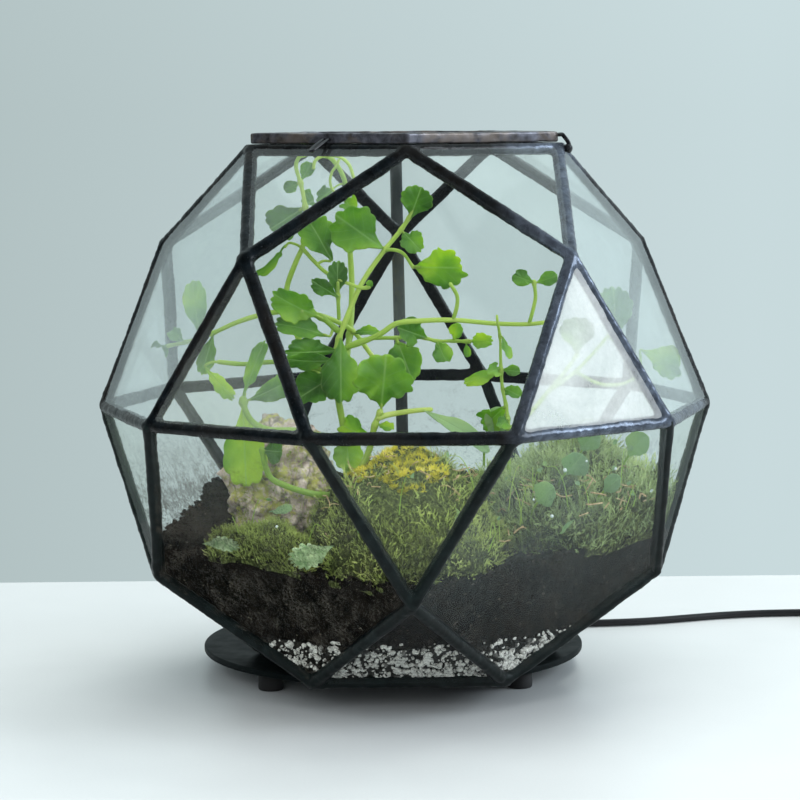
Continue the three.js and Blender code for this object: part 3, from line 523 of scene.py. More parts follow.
# ------------------------------------------------------------------ cord: lead, coil and tail as one line
COIL_X, COIL_Y = 272.0, 144.3
def cord_line():
    lead = [(44.4, 141, 4.3), (48, 141, 4.25), (52, 141.1, 4.1), (57, 141.2, 3.75), (62, 141.4, 3.3), (68, 141.7, 2.8), (74, 142.1, 2.4), (80, 142.5, 2.18), (86, 143, 2.1),
            (98, 144, 2.1), (111, 145.1, 2.1), (123, 146.5, 2.1), (136, 148.9, 2.1), (150, 153, 2.1), (166, 158.8, 2.1), (184, 164.6, 2.1),
            (205, 168.6, 2.1), (227, 169.9, 2.1), (242, 170.2, 2.1), (256, 170.25, 2.1), (264, 170.25, 2.1)]
    steps = [(-4.0, 0.0), (0.0, 4.0), (4.0, 0.0), (0.0, 4.0), (-4.0, 0.0), (0.0, 4.0), (4.0, 0.0)]  # from one turn to the next: outwards, up
    turns = []
    total = 8.25 * 360
    for deg in np.arange(0, total + 1e-6, 15.0):
        r, h = 25.95, 2.1
        for k, (dr, dh) in enumerate(steps):
            end = 360 * (k + 1) - 8 * k
            s = min(1.0, max(0.0, (deg - (end - 52)) / 52))
            s = s * s * (3 - 2 * s)
            r += dr * s
            h += dh * s
        a = math.radians(deg)
        turns.append((COIL_X + r * math.sin(a), COIL_Y + r * math.cos(a), h))
    tail = [(297.97, 136, 13.9), (297.95, 128.4, 12.4), (297.9, 123, 10.5), (297.9, 118, 8.4), (297.8, 113, 6.6), (297.7, 108, 5.2), (297.5, 103.5, 4.5), (297.4, 99, 4.3), (297.25, 95.5, 4.3), (297.2, 92.0, 4.3)]
    # the last point of the coil is over (297.95, 144.3)
    return np.array([(x, y, TABLE + h) for x, y, h in lead + turns + tail])
def make_cord():
    pts = cord_line()
    pts = pts[1:] if np.linalg.norm(pts[0] - pts[1]) < 0.1 else pts
    fine = catmull(pts, 1.0)
    length = float(np.linalg.norm(np.diff(fine, axis=0), axis=1).sum()) * 0.001
    cu = bpy.data.curves.new("power_cord", "CURVE")
    cu.dimensions = "3D"
    cu.bevel_depth = 0.002
    cu.bevel_resolution = 4
    cu.use_fill_caps = True
    cu.resolution_u = 5
    sp = cu.splines.new("BEZIER")
    sp.bezier_points.add(len(pts) - 1)
    m = metres(pts)
    for i, bp in enumerate(sp.bezier_points):
        bp.co = m[i]
        a, b = m[max(0, i - 1)], m[min(len(m) - 1, i + 1)]
        t = (b - a) / max(np.linalg.norm(b - a), 1e-9)
        bp.handle_left_type = bp.handle_right_type = "FREE"
        bp.handle_left = m[i] - t * np.linalg.norm(m[i] - m[max(0, i - 1)]) / 3
        bp.handle_right = m[i] + t * np.linalg.norm(m[min(len(m) - 1, i + 1)] - m[i]) / 3
    cu.materials.append(CORD)
    o = bpy.data.objects.new("power_cord", cu)
    scene.collection.objects.link(o)
    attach(o, "terrarium")
    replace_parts(o, "cord", "cord_coil", "cord_tail")
    return o, length, metres(pts[0])
cord_piece, cord_length, cord_exit = make_cord()

# strain relief: a ribbed moulding that tapers on to the cord
def make_relief():
    b = Bag()
    prof = [(0, 20.0), (3.3, 20.0), (3.7, 20.4), (3.7, 26.6), (3.5, 27.2)]
    x = 28.0
    for k in range(6):
        r = 3.35 - 0.14 * k
        prof += [(r, x), (r + 0.05, x + 0.5), (r, x + 1.5), (r - 0.55, x + 1.8), (r - 0.55, x + 2.3)]
        x += 2.5
    prof += [(2.45, x + 0.2), (2.3, 43.6), (2.1, 44.0), (0, 44.0)]
    b2 = Bag()
    lathe(b2, [(r, h) for r, h in prof], (0, 141, TABLE + 4.3), 40, "x")
    return build("cord_relief", b2, PLUG, replaces=("strain_relief",))
relief = make_relief()

# plug: a moulded grip with ribs, and the plated shell with its tongue
def section_loft(bag, stations, sides=40, power=4.0, tone=0.5):
    """Stations (y, half width, half height, centre z) joined along -Y as superellipses about x = 297.1."""
    a = np.linspace(0, 2 * np.pi, sides, endpoint=False)
    c, s = np.cos(a), np.sin(a)
    e = 2.0 / power
    cx, cz = np.sign(c) * np.abs(c) ** e, np.sign(s) * np.abs(s) ** e
    pts = np.array([[(297.1 + w * x, y, TABLE + z + h * q) for x, q in zip(cx, cz)] for y, w, h, z in stations])
    v = np.concatenate([pts.reshape(-1, 3), pts[0].mean(0)[None], pts[-1].mean(0)[None]])
    n, j = len(stations), np.arange(sides)
    k = (j + 1) % sides
    q = grid_faces(n, sides)
    t = np.concatenate([np.stack([np.full(sides, n * sides), k, j], 1), np.stack([np.full(sides, n * sides + 1), (n - 1) * sides + j, (n - 1) * sides + k], 1)])
    bag.add(v, q, t, tone=tone)
def make_plug():
    b = Bag()
    st = [(91.9, 2.3, 2.3, 4.3), (91.6, 2.7, 2.6, 4.3), (88, 2.9, 2.8, 4.3), (86, 3.3, 3.0, 4.3), (83.6, 5.0, 3.4, 4.3), (82.2, 6.8, 3.75, 4.3), (81.2, 7.6, 3.9, 4.3), (79.5, 7.85, 3.95, 4.3)]
    y = 78.0
    for _ in range(5):  # ribs of the grip
        st += [(y, 7.85, 3.95, 4.3), (y - 0.5, 7.45, 3.62, 4.3), (y - 1.3, 7.45, 3.62, 4.3), (y - 1.8, 7.85, 3.95, 4.3)]
        y -= 2.6
    st += [(63.0, 7.85, 3.95, 4.3), (59.0, 7.85, 3.95, 4.3), (58.2, 7.6, 3.8, 4.3), (57.95, 7.1, 3.4, 4.3)]
    section_loft(b, st)
    body = build("plug_grip", b, PLUG, replaces=("plug_body",))
    m = Mat("plug_plating")
    streak = m.noise(60, 4, 0.6, vec=m.scaled((60, 2, 60)))
    col = m.mix(m.ramp(streak, [(0.3, 0.0), (0.7, 1.0)]), (0.55, 0.56, 0.58), (0.74, 0.75, 0.77))
    plated = m.done(m.principled(col, m.ramp(m.noise(300, 4), [(0.3, 0.2), (0.8, 0.34)]), 1.0, m.bump(streak, 0.2, 0.00005)))
    # shell: a thin sheet folded to a box, open at the front, with two latch windows above
    b = Bag()
    def block(x0, y0, z0, x1, y1, z1, tone=0.5, bevel=0.25):
        x0, x1, z0, z1 = x0 + 297.1, x1 + 297.1, z0 + TABLE, z1 + TABLE
        g = bevel
        prof = [(x0 + g, z0), (x1 - g, z0), (x1, z0 + g), (x1, z1 - g), (x1 - g, z1), (x0 + g, z1), (x0, z1 - g), (x0, z0 + g)]
        ys = [y1, y0]
        v = np.array([(x, yy, z) for yy in ys for x, z in prof] + [((x0 + x1) / 2, y1, (z0 + z1) / 2), ((x0 + x1) / 2, y0, (z0 + z1) / 2)])
        j = np.arange(8)
        k = (j + 1) % 8
        q = grid_faces(2, 8)
        t = np.concatenate([np.stack([np.full(8, 16), k, j], 1), np.stack([np.full(8, 17), 8 + j, 8 + k], 1)])
        b.add(v, q, t, tone=tone)
    ya, yb = 38.85, 57.6
    wins = [(-4.4, -1.9), (1.9, 4.4)]
    block(-6, ya, 2.05, 6, yb, 2.35, bevel=0.05)
    block(-6, ya, 2.3, -5.7, yb, 6.3, bevel=0.05)
    block(5.7, ya, 2.3, 6, yb, 6.3, bevel=0.05)
    for z0, z1 in ((6.25, 6.55),):
        block(-6, ya, z0, 6, 47.0, z1, bevel=0.05)
        block(-6, 49.4, z0, 6, yb, z1, bevel=0.05)
        block(-6, 47.0, z0, -4.4, 49.4, z1, bevel=0.05)
        block(-1.9, 47.0, z0, 1.9, 49.4, z1, bevel=0.05)
        block(4.4, 47.0, z0, 6, 49.4, z1, bevel=0.05)
    shell = build("plug_sleeve", b, plated, replaces=("plug_shell",), smooth=False)
    b = Bag()
    block(-5.6, 39.6, 2.4, 5.6, 57.4, 4.2, bevel=0.15)
    tongue = build("plug_tongue", b, plastic("tongue_plastic", (0.03, 0.03, 0.032), 0.45), smooth=False)
    b = Bag()
    for x in (-3.9, -1.3, 1.3, 3.9):
        block(x - 0.6, 40.4, 4.15, x + 0.6, 50, 4.32, bevel=0.04)
    contacts = build("plug_contacts", b, plated, smooth=False)
    return [body, shell, tongue, contacts]
plug_pieces = make_plug()

# a strap round the coil's turns
def make_tie():
    b = Bag()
    a = math.radians(205)
    out = np.array([math.sin(a), math.cos(a), 0.0])
    along = np.array([out[1], -out[0], 0.0])
    c = np.array([COIL_X, COIL_Y, 0.0]) + out * 23.95
    hw, z0, z1 = 4.55, 0.06, 16.75
    zc, hh = (z0 + z1) / 2, (z1 - z0) / 2
    t = np.linspace(0, 2 * np.pi, 64, endpoint=False)
    e = 2 / 3.2
    px, pz = np.sign(np.cos(t)) * np.abs(np.cos(t)) ** e, np.sign(np.sin(t)) * np.abs(np.sin(t)) ** e
    rings = []
    for s, k in ((-3.2, -0.45), (-3.0, 0.0), (3.0, 0.0), (3.2, -0.45), (3.0, -0.7), (-3.0, -0.7)):
        rings.append([c + out * (hw + k) * x + np.array([0, 0, TABLE + zc + (hh + min(k, 0) * 0.9) * z]) + along * s for x, z in zip(px, pz)])
    v = np.array(rings).reshape(-1, 3)
    q = grid_faces(6, 64)
    j = np.arange(64)
    q = np.concatenate([q, np.stack([5 * 64 + j, 5 * 64 + (j + 1) % 64, (j + 1) % 64, j], 1)])
    b.add(v, q)
    return build("cord_tie", b, TIE)
tie = make_tie()

# ------------------------------------------------------------------ glass
def glass_material(name, tint=(0.975, 0.985, 0.98), haze=0.03, haze_top=0.10, veil=(0.80, 0.86, 0.86), grime=0.0, specks=0.25, low=-0.13, high=0.0, streaks=0.0, shine=0.024, splash=0.0, graze=0.72):
    """Clear glass that mirrors a little; a thin veil of mist that thickens towards low (metres about the body's centre), grime near the soil, and specks."""
    m = Mat(name)
    z = m.math("SUBTRACT", m.split(m.obj)[2], 0.1422)
    cloud = m.noise(22, 5, 0.62, 0.7)
    fine = m.noise(420, 4, 0.7)
    mist = m.math("MULTIPLY", m.ramp(cloud, [(0.28, 0.25), (0.72, 1.0)]), m.ramp(fine, [(0.2, 0.72), (0.8, 1.0)]))
    up = remap(m, z, low, high, 1.0, 0.0)
    amount = m.math("MULTIPLY", mist, m.math("ADD", haze, m.math("MULTIPLY", up, haze_top - haze)))
    if streaks:
        s = m.noise(1, 4, 0.6, 0.2, m.scaled((150, 150, 9)))
        amount = m.math("ADD", amount, m.math("MULTIPLY", m.ramp(s, [(0.5, 0.0), (0.75, 1.0)]), streaks))
    facing = m.node("ShaderNodeLayerWeight", Blend=0.5).outputs["Facing"]
    mirror = m.math("ADD", shine, m.math("MULTIPLY", m.math("POWER", facing, 4.5), graze))
    clear = m.node("ShaderNodeBsdfTransparent", Color=(*tint, 1.0)).outputs[0]
    gloss = m.node("ShaderNodeBsdfGlossy", Color=(0.95, 0.98, 1.0, 1.0), Roughness=0.03).outputs[0]
    pane = m.blend(mirror, clear, gloss)
    lit = m.node("ShaderNodeBsdfDiffuse", Color=(*veil, 1.0)).outputs[0]
    through = m.node("ShaderNodeBsdfTranslucent", Color=(*veil, 1.0)).outputs[0]
    pane = m.blend(amount, pane, m.blend(0.5, lit, through))
    if specks:
        d = m.cells(330, out=0)
        dots = m.ramp(d, [(0.05, 1.0), (0.085, 0.0)])
        pick = m.ramp(m.noise(60, 3, 0.6), [(0.52, 0.0), (0.66, 1.0)])
        near = remap(m, z, -0.10, 0.10, 1.0, 0.35)
        dirt = m.math("MULTIPLY", m.math("MULTIPLY", dots, pick), m.math("MULTIPLY", near, specks))
        if grime:
            g = m.noise(95, 6, 0.75, 0.5)
            gg = m.math("MULTIPLY", m.ramp(g, [(0.50, 0.0), (0.64, 1.0)]), m.ramp(m.noise(900, 3, 0.7), [(0.42, 0.0), (0.6, 1.0)]))
            dirt = m.math("ADD", dirt, m.math("MULTIPLY", gg, m.math("MULTIPLY", remap(m, z, -0.085, 0.0, 1.0, 0.0), grime)), clamp=True)
        if splash:   # soil thrown up on the left-hand panes
            s = m.math("MULTIPLY", m.ramp(m.noise(150, 8, 0.85, 0.5), [(0.48, 0.0), (0.58, 1.0)]), m.ramp(m.noise(1000, 3, 0.7), [(0.36, 0.35), (0.5, 1.0)]))
            s = m.math("MULTIPLY", s, m.math("MULTIPLY", remap(m, z, -0.054, -0.020, 1.0, 0.0), remap(m, m.split(m.obj)[0], -0.074, -0.090, 0.0, splash)))
            dirt = m.math("MAXIMUM", dirt, m.math("MULTIPLY", s, remap(m, z, -0.060, -0.052, 0.0, 1.0)))
        soil = m.node("ShaderNodeBsdfDiffuse", Color=(0.072, 0.064, 0.052, 1.0)).outputs[0]
        pane = m.blend(dirt, pane, soil)
    return m.done(pane)

side_tint, clear_tint = (0.955, 0.972, 0.966), (0.984, 0.991, 0.987)
GLASS = {
    "upper": glass_material("glass_upper", clear_tint, 0.003, 0.008, specks=0.35),
    "side": glass_material("glass_side", (0.965, 0.98, 0.975), 0.12, 0.17, veil=(0.74, 0.84, 0.84), specks=0.35, shine=0.045),
    "shoulder": glass_material("glass_shoulder", (0.975, 0.988, 0.980), 0.050, 0.055, specks=0.3),
    "belt": glass_material("glass_belt", clear_tint, 0.06, 0.15, veil=(0.84, 0.92, 0.86), specks=0.4, low=0.0, high=0.07),
    # the pane at the right of the belt: its thick white veil is partly mist and partly a painted reflection of the
    # window
    "mist_and_reflection": glass_material("glass_misty", clear_tint, 0.62, 0.68, veil=(0.95, 0.97, 0.98), specks=0.25, low=-0.02, high=0.1, streaks=0.04, shine=0.030),
    "low": glass_material("glass_low", (0.975, 0.985, 0.978), 0.075, 0.010, veil=(0.52, 0.66, 0.46), grime=0.4, specks=0.5, low=-0.070, high=-0.030, streaks=0.004, shine=0.005, graze=0.2),
    "grimy": glass_material("glass_grimy", (0.975, 0.985, 0.978), 0.062, 0.004, veil=(0.58, 0.63, 0.61), grime=0.9, specks=0.8, low=-0.064, high=-0.036, streaks=0.004, shine=0.0, splash=0.80, graze=0.12),
    "dusty": glass_material("glass_dusty", (0.972, 0.98, 0.978), 0.150, 0.016, veil=(0.60, 0.70, 0.68), grime=0.45, specks=0.6, low=-0.10, high=0.01, streaks=0.008, shine=0.006, graze=0.25),
    "foot": glass_material("glass_foot", (0.97, 0.98, 0.975), 0.006, 0.010, veil=(0.5, 0.56, 0.55), grime=0.2, specks=0.3, shine=0.003, graze=0.15),
    "lid": glass_material("glass_lid", (0.975, 0.987, 0.982), 0.006, 0.010, specks=0.3, low=0.1, high=0.2),
}
FRONT = {"glass_upper_pent_1": "upper", "glass_shoulder_tri_1": "shoulder", "glass_shoulder_tri_5": "shoulder", "glass_belt_up_tri_1": "mist_and_reflection",
         "glass_belt_up_tri_5": "belt", "glass_belt_down_tri_1": "low", "glass_lower_pent_1": "dusty", "glass_lower_pent_5": "grimy"}
def glass_for(name):
    if name in FRONT:
        return GLASS[FRONT[name]]
    for key, kind in (("lid", "lid"), ("upper", "side"), ("shoulder", "shoulder"), ("belt_up", "belt"), ("belt_down", "low"), ("lower", "grimy"), ("foot", "foot"), ("floor", "foot")):
        if key in name:
            return GLASS[kind]
for name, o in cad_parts.items():
    if "glass" in name:
        o.data.materials.clear()
        o.data.materials.append(glass_for(name))
        for poly in o.data.polygons:
            poly.use_smooth = False

# ------------------------------------------------------------------ came: rounded leads, run together with solder at the corners
# the last colours and metal are the painted highlight on the leads at the right front
CAME = came_material("came_patina", (0.0008, 0.0014, 0.0016), (0.0040, 0.0065, 0.0085), 0.3, (0.20, 0.36), 0.08, spec=0.11, relief=0.24, right_front_highlight=((0.046, 0.056, 0.074), (0.138, 0.165, 0.212), 0.68))
CAME_LOW = came_material("came_patina_low", (0.0014, 0.0032, 0.0032), (0.0075, 0.0125, 0.0125), 0.12, (0.28, 0.46), 0.10, spec=0.10, relief=0.24)
RIM_TOP, BODY_BOTTOM = 129.2, -129.9
def came(name, keys, material, seed):
    bag = Bag()
    rng = np.random.default_rng(seed)
    sides = 20
    t = np.linspace(0, 2 * np.pi, sides, endpoint=False)
    e = 2 / 3.1
    px, pz = np.sign(np.cos(t)) * np.abs(np.cos(t)) ** e, np.sign(np.sin(t)) * np.abs(np.sin(t)) ** e
    for a, b in keys:
        f, g = edges[(a, b)]
        w = unit(normals[f] + normals[g])
        d = unit(corners[b] - corners[a])
        u = np.cross(d, w)
        L = np.linalg.norm(corners[b] - corners[a])
        n = 40
        s = np.linspace(0.6, L - 0.6, n)
        mid = corners[a] + np.outer(s, d)
        swell = 1 + 0.04 * np.exp(-(np.minimum(s, L - s) / 5.0) ** 2)
        wob = fractal(mid, 26, 2, seed) * 0.035
        wide, thick = 3.18 * (1 + wob) * swell, 2.62 * (1 + fractal(mid, 17, 2, seed + 9) * 0.05) * swell
        shift = fractal(mid, 33, 2, seed + 5)[:, None] * 0.12 * u
        rings = (mid + shift)[:, None] - 0.35 * w + wide[:, None, None] * px[None, :, None] * u + thick[:, None, None] * pz[None, :, None] * w
        # the leads bend with the two panes
        rings -= (np.abs(px) ** 1.2)[None, :, None] * 1.45 * w
        v = np.concatenate([rings.reshape(-1, 3), rings[0].mean(0)[None], rings[-1].mean(0)[None]])
        j = np.arange(sides)
        k = (j + 1) % sides
        bag.add(v, grid_faces(n, sides, flip=True), np.concatenate([np.stack([np.full(sides, n * sides), j, k], 1), np.stack([np.full(sides, n * sides + 1), (n - 1) * sides + k, (n - 1) * sides + j], 1)]))
    for c in sorted({i for key in keys for i in key}):
        p = corners[c]
        w = unit(p)
        u = unit(np.cross(w, (0.3, 0.9, 0.1)))
        x = np.cross(w, u)
        m, k = 10, 16
        th = np.linspace(0.05, np.pi - 0.05, m)
        ph = np.linspace(0, 2 * np.pi, k, endpoint=False)
        lump = 1 + 0.06 * rng.standard_normal()
        pts = np.array([[w * math.cos(q) * 2.75 + (u * math.cos(s) + x * math.sin(s)) * math.sin(q) * 3.75 * lump for s in ph] for q in th])
        pts = pts + p - 1.1 * w
        v = np.concatenate([pts.reshape(-1, 3), pts[0].mean(0)[None], pts[-1].mean(0)[None]])
        j = np.arange(k)
        jj = (j + 1) % k
        bag.add(v, grid_faces(m, k), np.concatenate([np.stack([np.full(k, m * k), jj, j], 1), np.stack([np.full(k, m * k + 1), (m - 1) * k + j, (m - 1) * k + jj], 1)]))
    raw = build(name + "_raw", bag, material)
    mod = raw.modifiers.new("melt", "REMESH")
    mod.mode, mod.voxel_size, mod.adaptivity = "VOXEL", 0.0010, 0.0
    sm = raw.modifiers.new("ease", "SMOOTH")
    sm.factor, sm.iterations = 0.5, 3
    dg = bpy.context.evaluated_depsgraph_get()
    me = bpy.data.meshes.new_from_object(raw.evaluated_get(dg))
    bpy.data.objects.remove(raw)
    co = np.zeros(len(me.vertices) * 3, np.float32)
    me.vertices.foreach_get("co", co)
    co = co.reshape(-1, 3).astype(float)
    no = np.zeros(len(me.vertices) * 3, np.float32)
    me.vertex_normals.foreach_get("vector", no)
    no = no.reshape(-1, 3).astype(float)
    p = co * 1000 - SHIFT
    # solder lies unevenly: ripples, small nicks and a few nibs near the corners
    near = np.linalg.norm(p[:, None] - corners[None], axis=2).min(1)
    amp = 0.10 + 0.26 * np.exp(-(near / 7.5) ** 2)
    lift = amp * fractal(p, 5.0, 3, seed + 20) + 0.05 * value_noise(p, 1.6, seed + 3)
    nick = value_noise(p, 2.6, seed + 31)
    lift -= np.where(nick > 2.1, 0.35 * np.minimum(1, (nick - 2.1) * 1.5), 0)
    p = p + no * np.clip(lift, -0.5, 0.45)[:, None]
    p[:, 2] = np.clip(p[:, 2], BODY_BOTTOM, RIM_TOP)
    me.vertices.foreach_set("co", metres(p).astype(np.float32).ravel())
    me.update()
    me.polygons.foreach_set("use_smooth", np.full(len(me.polygons), True))
    me.materials.clear()
    me.materials.append(material)
    o = bpy.data.objects.new(name, me)
    scene.collection.objects.link(o)
    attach(o, "terrarium")
    return o
level = lambda key: (corners[key[0]][2] + corners[key[1]][2]) / 2
upper = [k for k in edges if level(k) > -1]
lower = [k for k in edges if level(k) <= -1]
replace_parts(came("came_leads_upper", upper, CAME, 3), "came_frame")
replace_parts(came("came_leads_lower", lower, CAME_LOW, 4), "came_frame")

# ------------------------------------------------------------------ lid
LID_Z0, LID_H, LID_R, LID_RAIL = 129.5, 5.1, 78.0, 5.6
HINGE_A, HINGE_Z, HINGE_DIR = 65.2, 132.9, 108
C36 = math.cos(math.radians(36))
LIDM = came_material("lid_patina", (0.014, 0.014, 0.017), (0.165, 0.170, 0.205), 0.4, (0.26, 0.5), 0.62, patch=(60, (0.145, 0.118, 0.098), 0.6), spec=0.5)
PULLM = plastic("pull_wire", (0.003, 0.003, 0.004), 0.16, 900, 0.00003, spec=0.5)
ROD = came_material("rod_black", (0.008, 0.008, 0.010), (0.03, 0.032, 0.036), 0.1, (0.25, 0.4), 0.6)
def lid_rails():
    """A rounded rail swept round the lid's five edges, mitred at the corners."""
    sec = rounded([(0, 2.5), (0, 0), (5.6, 0), (5.6, 5.1), (0, 5.1), (0, 2.6)], 1.15, 6)
    sec = np.array(sec)                      # inward distance, height
    bag, rows = Bag(), []
    names = []
    for k in range(5):
        a0, a1 = 72 * k, 72 * (k + 1)
        m = 46
        for i in range(m):
            s = i / m
            ring = []
            for inn, h in sec:
                r = LID_R - inn / C36
                p = polar(r, a0, 0) * (1 - s) + polar(r, a1, 0) * s
                ring.append((p[0], p[1], LID_Z0 + h))
            rows.append(ring)
    v = np.array(rows)
    n, m = v.shape[:2]
    i, j = np.meshgrid(np.arange(n), np.arange(m), indexing="ij")
    i, j = i.ravel(), j.ravel()
    q = np.stack([i * m + j, ((i + 1) % n) * m + j, ((i + 1) % n) * m + (j + 1) % m, i * m + (j + 1) % m], 1)
    p = v.reshape(-1, 3)
    mid = np.array([[(a[0] + b[0]) / 2, (a[1] + b[1]) / 2] for a, b in zip(p, p)])
    # away from the rail's own middle line
    r = np.linalg.norm(p[:, :2], axis=1)
    c = np.repeat(np.array([v[k].mean(0) for k in range(n)]), m, axis=0)
    out = unit(p - c)
    lift = 0.16 * fractal(p, 9, 3, 41) + 0.07 * value_noise(p, 2.2, 5)
    p = p + out * np.clip(lift, -0.35, 0.12)[:, None]
    p[:, 2] = np.clip(p[:, 2], LID_Z0, LID_Z0 + LID_H + 0.15)
    bag.add(p, q)
    o = build("lid_rails", bag, LIDM, body="lid", replaces=("lid_frame",))
    return o
lid_rails()
def hinge():
    out = polar(1, HINGE_DIR, 0)
    along = -np.array([-out[1], out[0], 0.0])
    at = lambda s, z=HINGE_Z: out * HINGE_A + along * s + np.array([0, 0, z])
    # tube: a rolled sheet, hollow
    b = Bag()
    n, sides = 60, 32
    a = np.linspace(0, 2 * np.pi, sides, endpoint=False)
    up = np.array([0, 0, 1.0])
    s = np.linspace(-36, 36, n)
    def ring(x, r):
        return at(x) + np.outer(np.cos(a), out) * r + np.outer(np.sin(a), up) * r
    rows = [ring(x, 1.6 + 0.03 * math.sin(x * 1.7)) for x in s] + [ring(x, 1.3) for x in s[::-1]]
    v = np.array(rows).reshape(-1, 3)
    q = grid_faces(2 * n, sides)
    j = np.arange(sides)
    q = np.concatenate([q, np.stack([(2 * n - 1) * sides + j, (2 * n - 1) * sides + (j + 1) % sides, (j + 1) % sides, j], 1)])
    b.add(v, q)
    build("hinge_sleeve", b, LIDM, body="lid", replaces=("hinge_tube",))
    def end(deg, k):
        c, o = polar(0.5257311 * R, deg, 0.8506508 * R), polar(1, deg, 0)
        p1, p2 = c + o * 4.4, c + o * 5.1
        p1[2], p2[2] = 129.2, 126.6
        return [at(k * 46.9), at(k * 48.0, HINGE_Z - 0.5), p1, p2]
    pts = end(144, -1)[::-1] + [at(x) for x in (-40, -20, 0, 20, 40)] + end(72, 1)
    b = Bag()
    line = catmull(pts, 0.8)
    tube(b, line, 1.0 + 0.02 * value_noise(line, 3, 3), 20)
    for deg in (72, 144):  # solder that holds the rod's ends on the body's corners
        c, o = polar(0.5257311 * R, deg, 0.8506508 * R), polar(1, deg, 0)
        p = c + o * 4.3
        p[2] = 126.4
        th, ph = np.linspace(0.04, np.pi - 0.04, 14), np.linspace(0, 2 * np.pi, 20, endpoint=False)
        side = np.array([-o[1], o[0], 0])
        pts2 = np.array([[p + np.array([0, 0, 1]) * math.cos(q) * 2.3 + (o * math.cos(x) * 2.2 + side * math.sin(x) * 2.9) * math.sin(q) for x in ph] for q in th])
        vv = pts2.reshape(-1, 3)
        vv = vv + unit(vv - p) * (0.25 * value_noise(vv, 1.8, 8))[:, None]
        k = 20
        j = np.arange(k)
        vv = np.concatenate([vv, pts2[0].mean(0)[None], pts2[-1].mean(0)[None]])
        b.add(vv, grid_faces(14, k), np.concatenate([np.stack([np.full(k, 14 * k), (j + 1) % k, j], 1), np.stack([np.full(k, 14 * k + 1), 13 * k + j, 13 * k + (j + 1) % k], 1)]))
    build("hinge_pin", b, ROD, replaces=("hinge_rod",))
    # pull
    out = polar(1, -36, 0)
    side = np.array([-out[1], out[0], 0.0])
    p = lambda o, s, z: out * o + side * s + np.array([0, 0, z])
    a0 = LID_R * C36 + 0.3 + 0.75
    pts = [p(a0 - 0.5, 1.5, 131.5), p(a0, 1.5, 131.4), p(a0 + 4, 1.4, 129.9), p(a0 + 9, 1.2, 127.6), p(a0 + 11.3, 0.8, 126.5), p(a0 + 12.0, 0, 126.2),
           p(a0 + 11.3, -0.8, 126.5), p(a0 + 9, -1.2, 127.6), p(a0 + 4, -1.4, 129.9), p(a0, -1.5, 131.4), p(a0 - 0.5, -1.5, 131.5)]
    b = Bag()
    tube(b, catmull(pts, 0.4), 0.84, 18)
    build("lid_pull_wire", b, PULLM, body="lid", replaces=("lid_pull",))
hinge()

# ------------------------------------------------------------------ lamp base, post and head
STEEL = plastic("powder_coat", (0.0022, 0.0042, 0.0044), 0.48, 1400, 0.00006, dust=0.006, spec=0.045)
RUBBER = plastic("foot_rubber", (0.010, 0.010, 0.010), 0.7, 2600, 0.0002)
def base():
    DX, DY, DR, DT, TOP = -5.8, 54.5, 98.5, 3.6, -130.2
    b = Bag()
    prof = [(0, 0), (DR - 6, 0), (DR - 5.6, 0.25), (DR - 1.0, 0.25)]
    prof += [(DR - 1.0 + 1.0 * math.sin(a), 1.25 - 1.0 * math.cos(a)) for a in np.linspace(0.2, math.pi / 2, 6)]
    prof += [(DR - 1.0 + 1.0 * math.cos(a), DT - 1.0 + 1.0 * math.sin(a)) for a in np.linspace(0.0, math.pi / 2, 7)]
    prof += [(DR - 12, DT), (DR - 40, DT), (0, DT)]
    lathe(b, prof, (DX, DY, TOP - DT), 192)
    build("lamp_disc", b, STEEL, replaces=("base_disc",))
    names = ["foot_front_left", "foot_front_right", "foot_rear_right", "foot_rear_left"]
    for i, d in enumerate((-45, 45, 135, 225)):
        h = TOP - DT - 0.3 - TABLE
        p = polar(88, d, 0)
        b = Bag()
        prof = [(0, 0), (5.2, 0), (5.8, 0.15), (6.2, 0.6), (6.3, 1.4), (6.2, h - 1.4), (5.9, h - 0.5), (5.9, h), (0, h)]
        lathe(b, prof, (DX + p[0], DY + p[1], TABLE), 48)
        build("pad_" + names[i][5:], b, RUBBER, replaces=(names[i],))
    z0 = TOP + 0.3
    PY, HY, HX, HZ = 149.2, 108.0, -1.2, 124.5
    pts = [(3.4, PY, z0), (2.6, PY, z0 + 40), (1.1, PY, z0 + 120), (-0.4, PY, z0 + 200), (-1.1, PY, 112), (-1.15, PY, 117.5), (-1.2, PY - 1.6, 123), (-1.2, PY - 5.6, 127), (-1.2, PY - 11, 128), (-1.2, HY + 22.4, 128)]
    b = Bag()
    line = catmull(pts, 2.0)
    tube(b, line, 3.3, 32, rounded=False)
    lathe(b, [(0, 0), (5.6, 0), (6.0, 0.3), (6.0, 1.6), (5.2, 2.4), (4.0, 2.9), (3.5, 4.0), (0, 4.0)], (3.4, PY - 0.6, TOP + 0.02), 48)   # collar where the post is screwed to the disc
    build("post_and_arm", b, STEEL, replaces=("lamp_post",))
    b = Bag()
    prof = [(0, 1.8), (18.6, 1.8), (18.6, 0.3), (18.9, 0), (21.4, 0), (21.85, 0.2), (22, 0.6), (22, 5.4), (21.7, 6.2), (20.9, 6.8), (19.6, 7.0), (17.0, 7.0)]
    for r in (15.5, 12.5, 9.5, 6.5):  # cooling grooves
        prof += [(r + 0.6, 7.0), (r + 0.45, 6.45), (r - 0.45, 6.45), (r - 0.6, 7.0)]
    prof += [(0, 7.0)]
    lathe(b, prof, (HX, HY, HZ), 96)
    build("lamp_housing", b, STEEL, replaces=("lamp_head",))
    b = Bag()
    lathe(b, [(0, 0.1), (17.5, 0.1), (18.0, 0.3), (18.2, 0.7), (18.2, 1.5), (0, 1.5)], (HX, HY, HZ), 96)
    m = Mat("lamp_diffuser")
    frost = m.noise(1200, 4, 0.6)
    opal = m.done(m.principled(m.mix(m.ramp(frost, [(0.3, 0.0), (0.7, 1.0)]), (0.80, 0.79, 0.75), (0.88, 0.87, 0.84)), 0.42, 0.0, m.bump(frost, 0.2, 0.0001)))
    build("lamp_diffuser_disc", b, opal, replaces=("lamp_lens",))
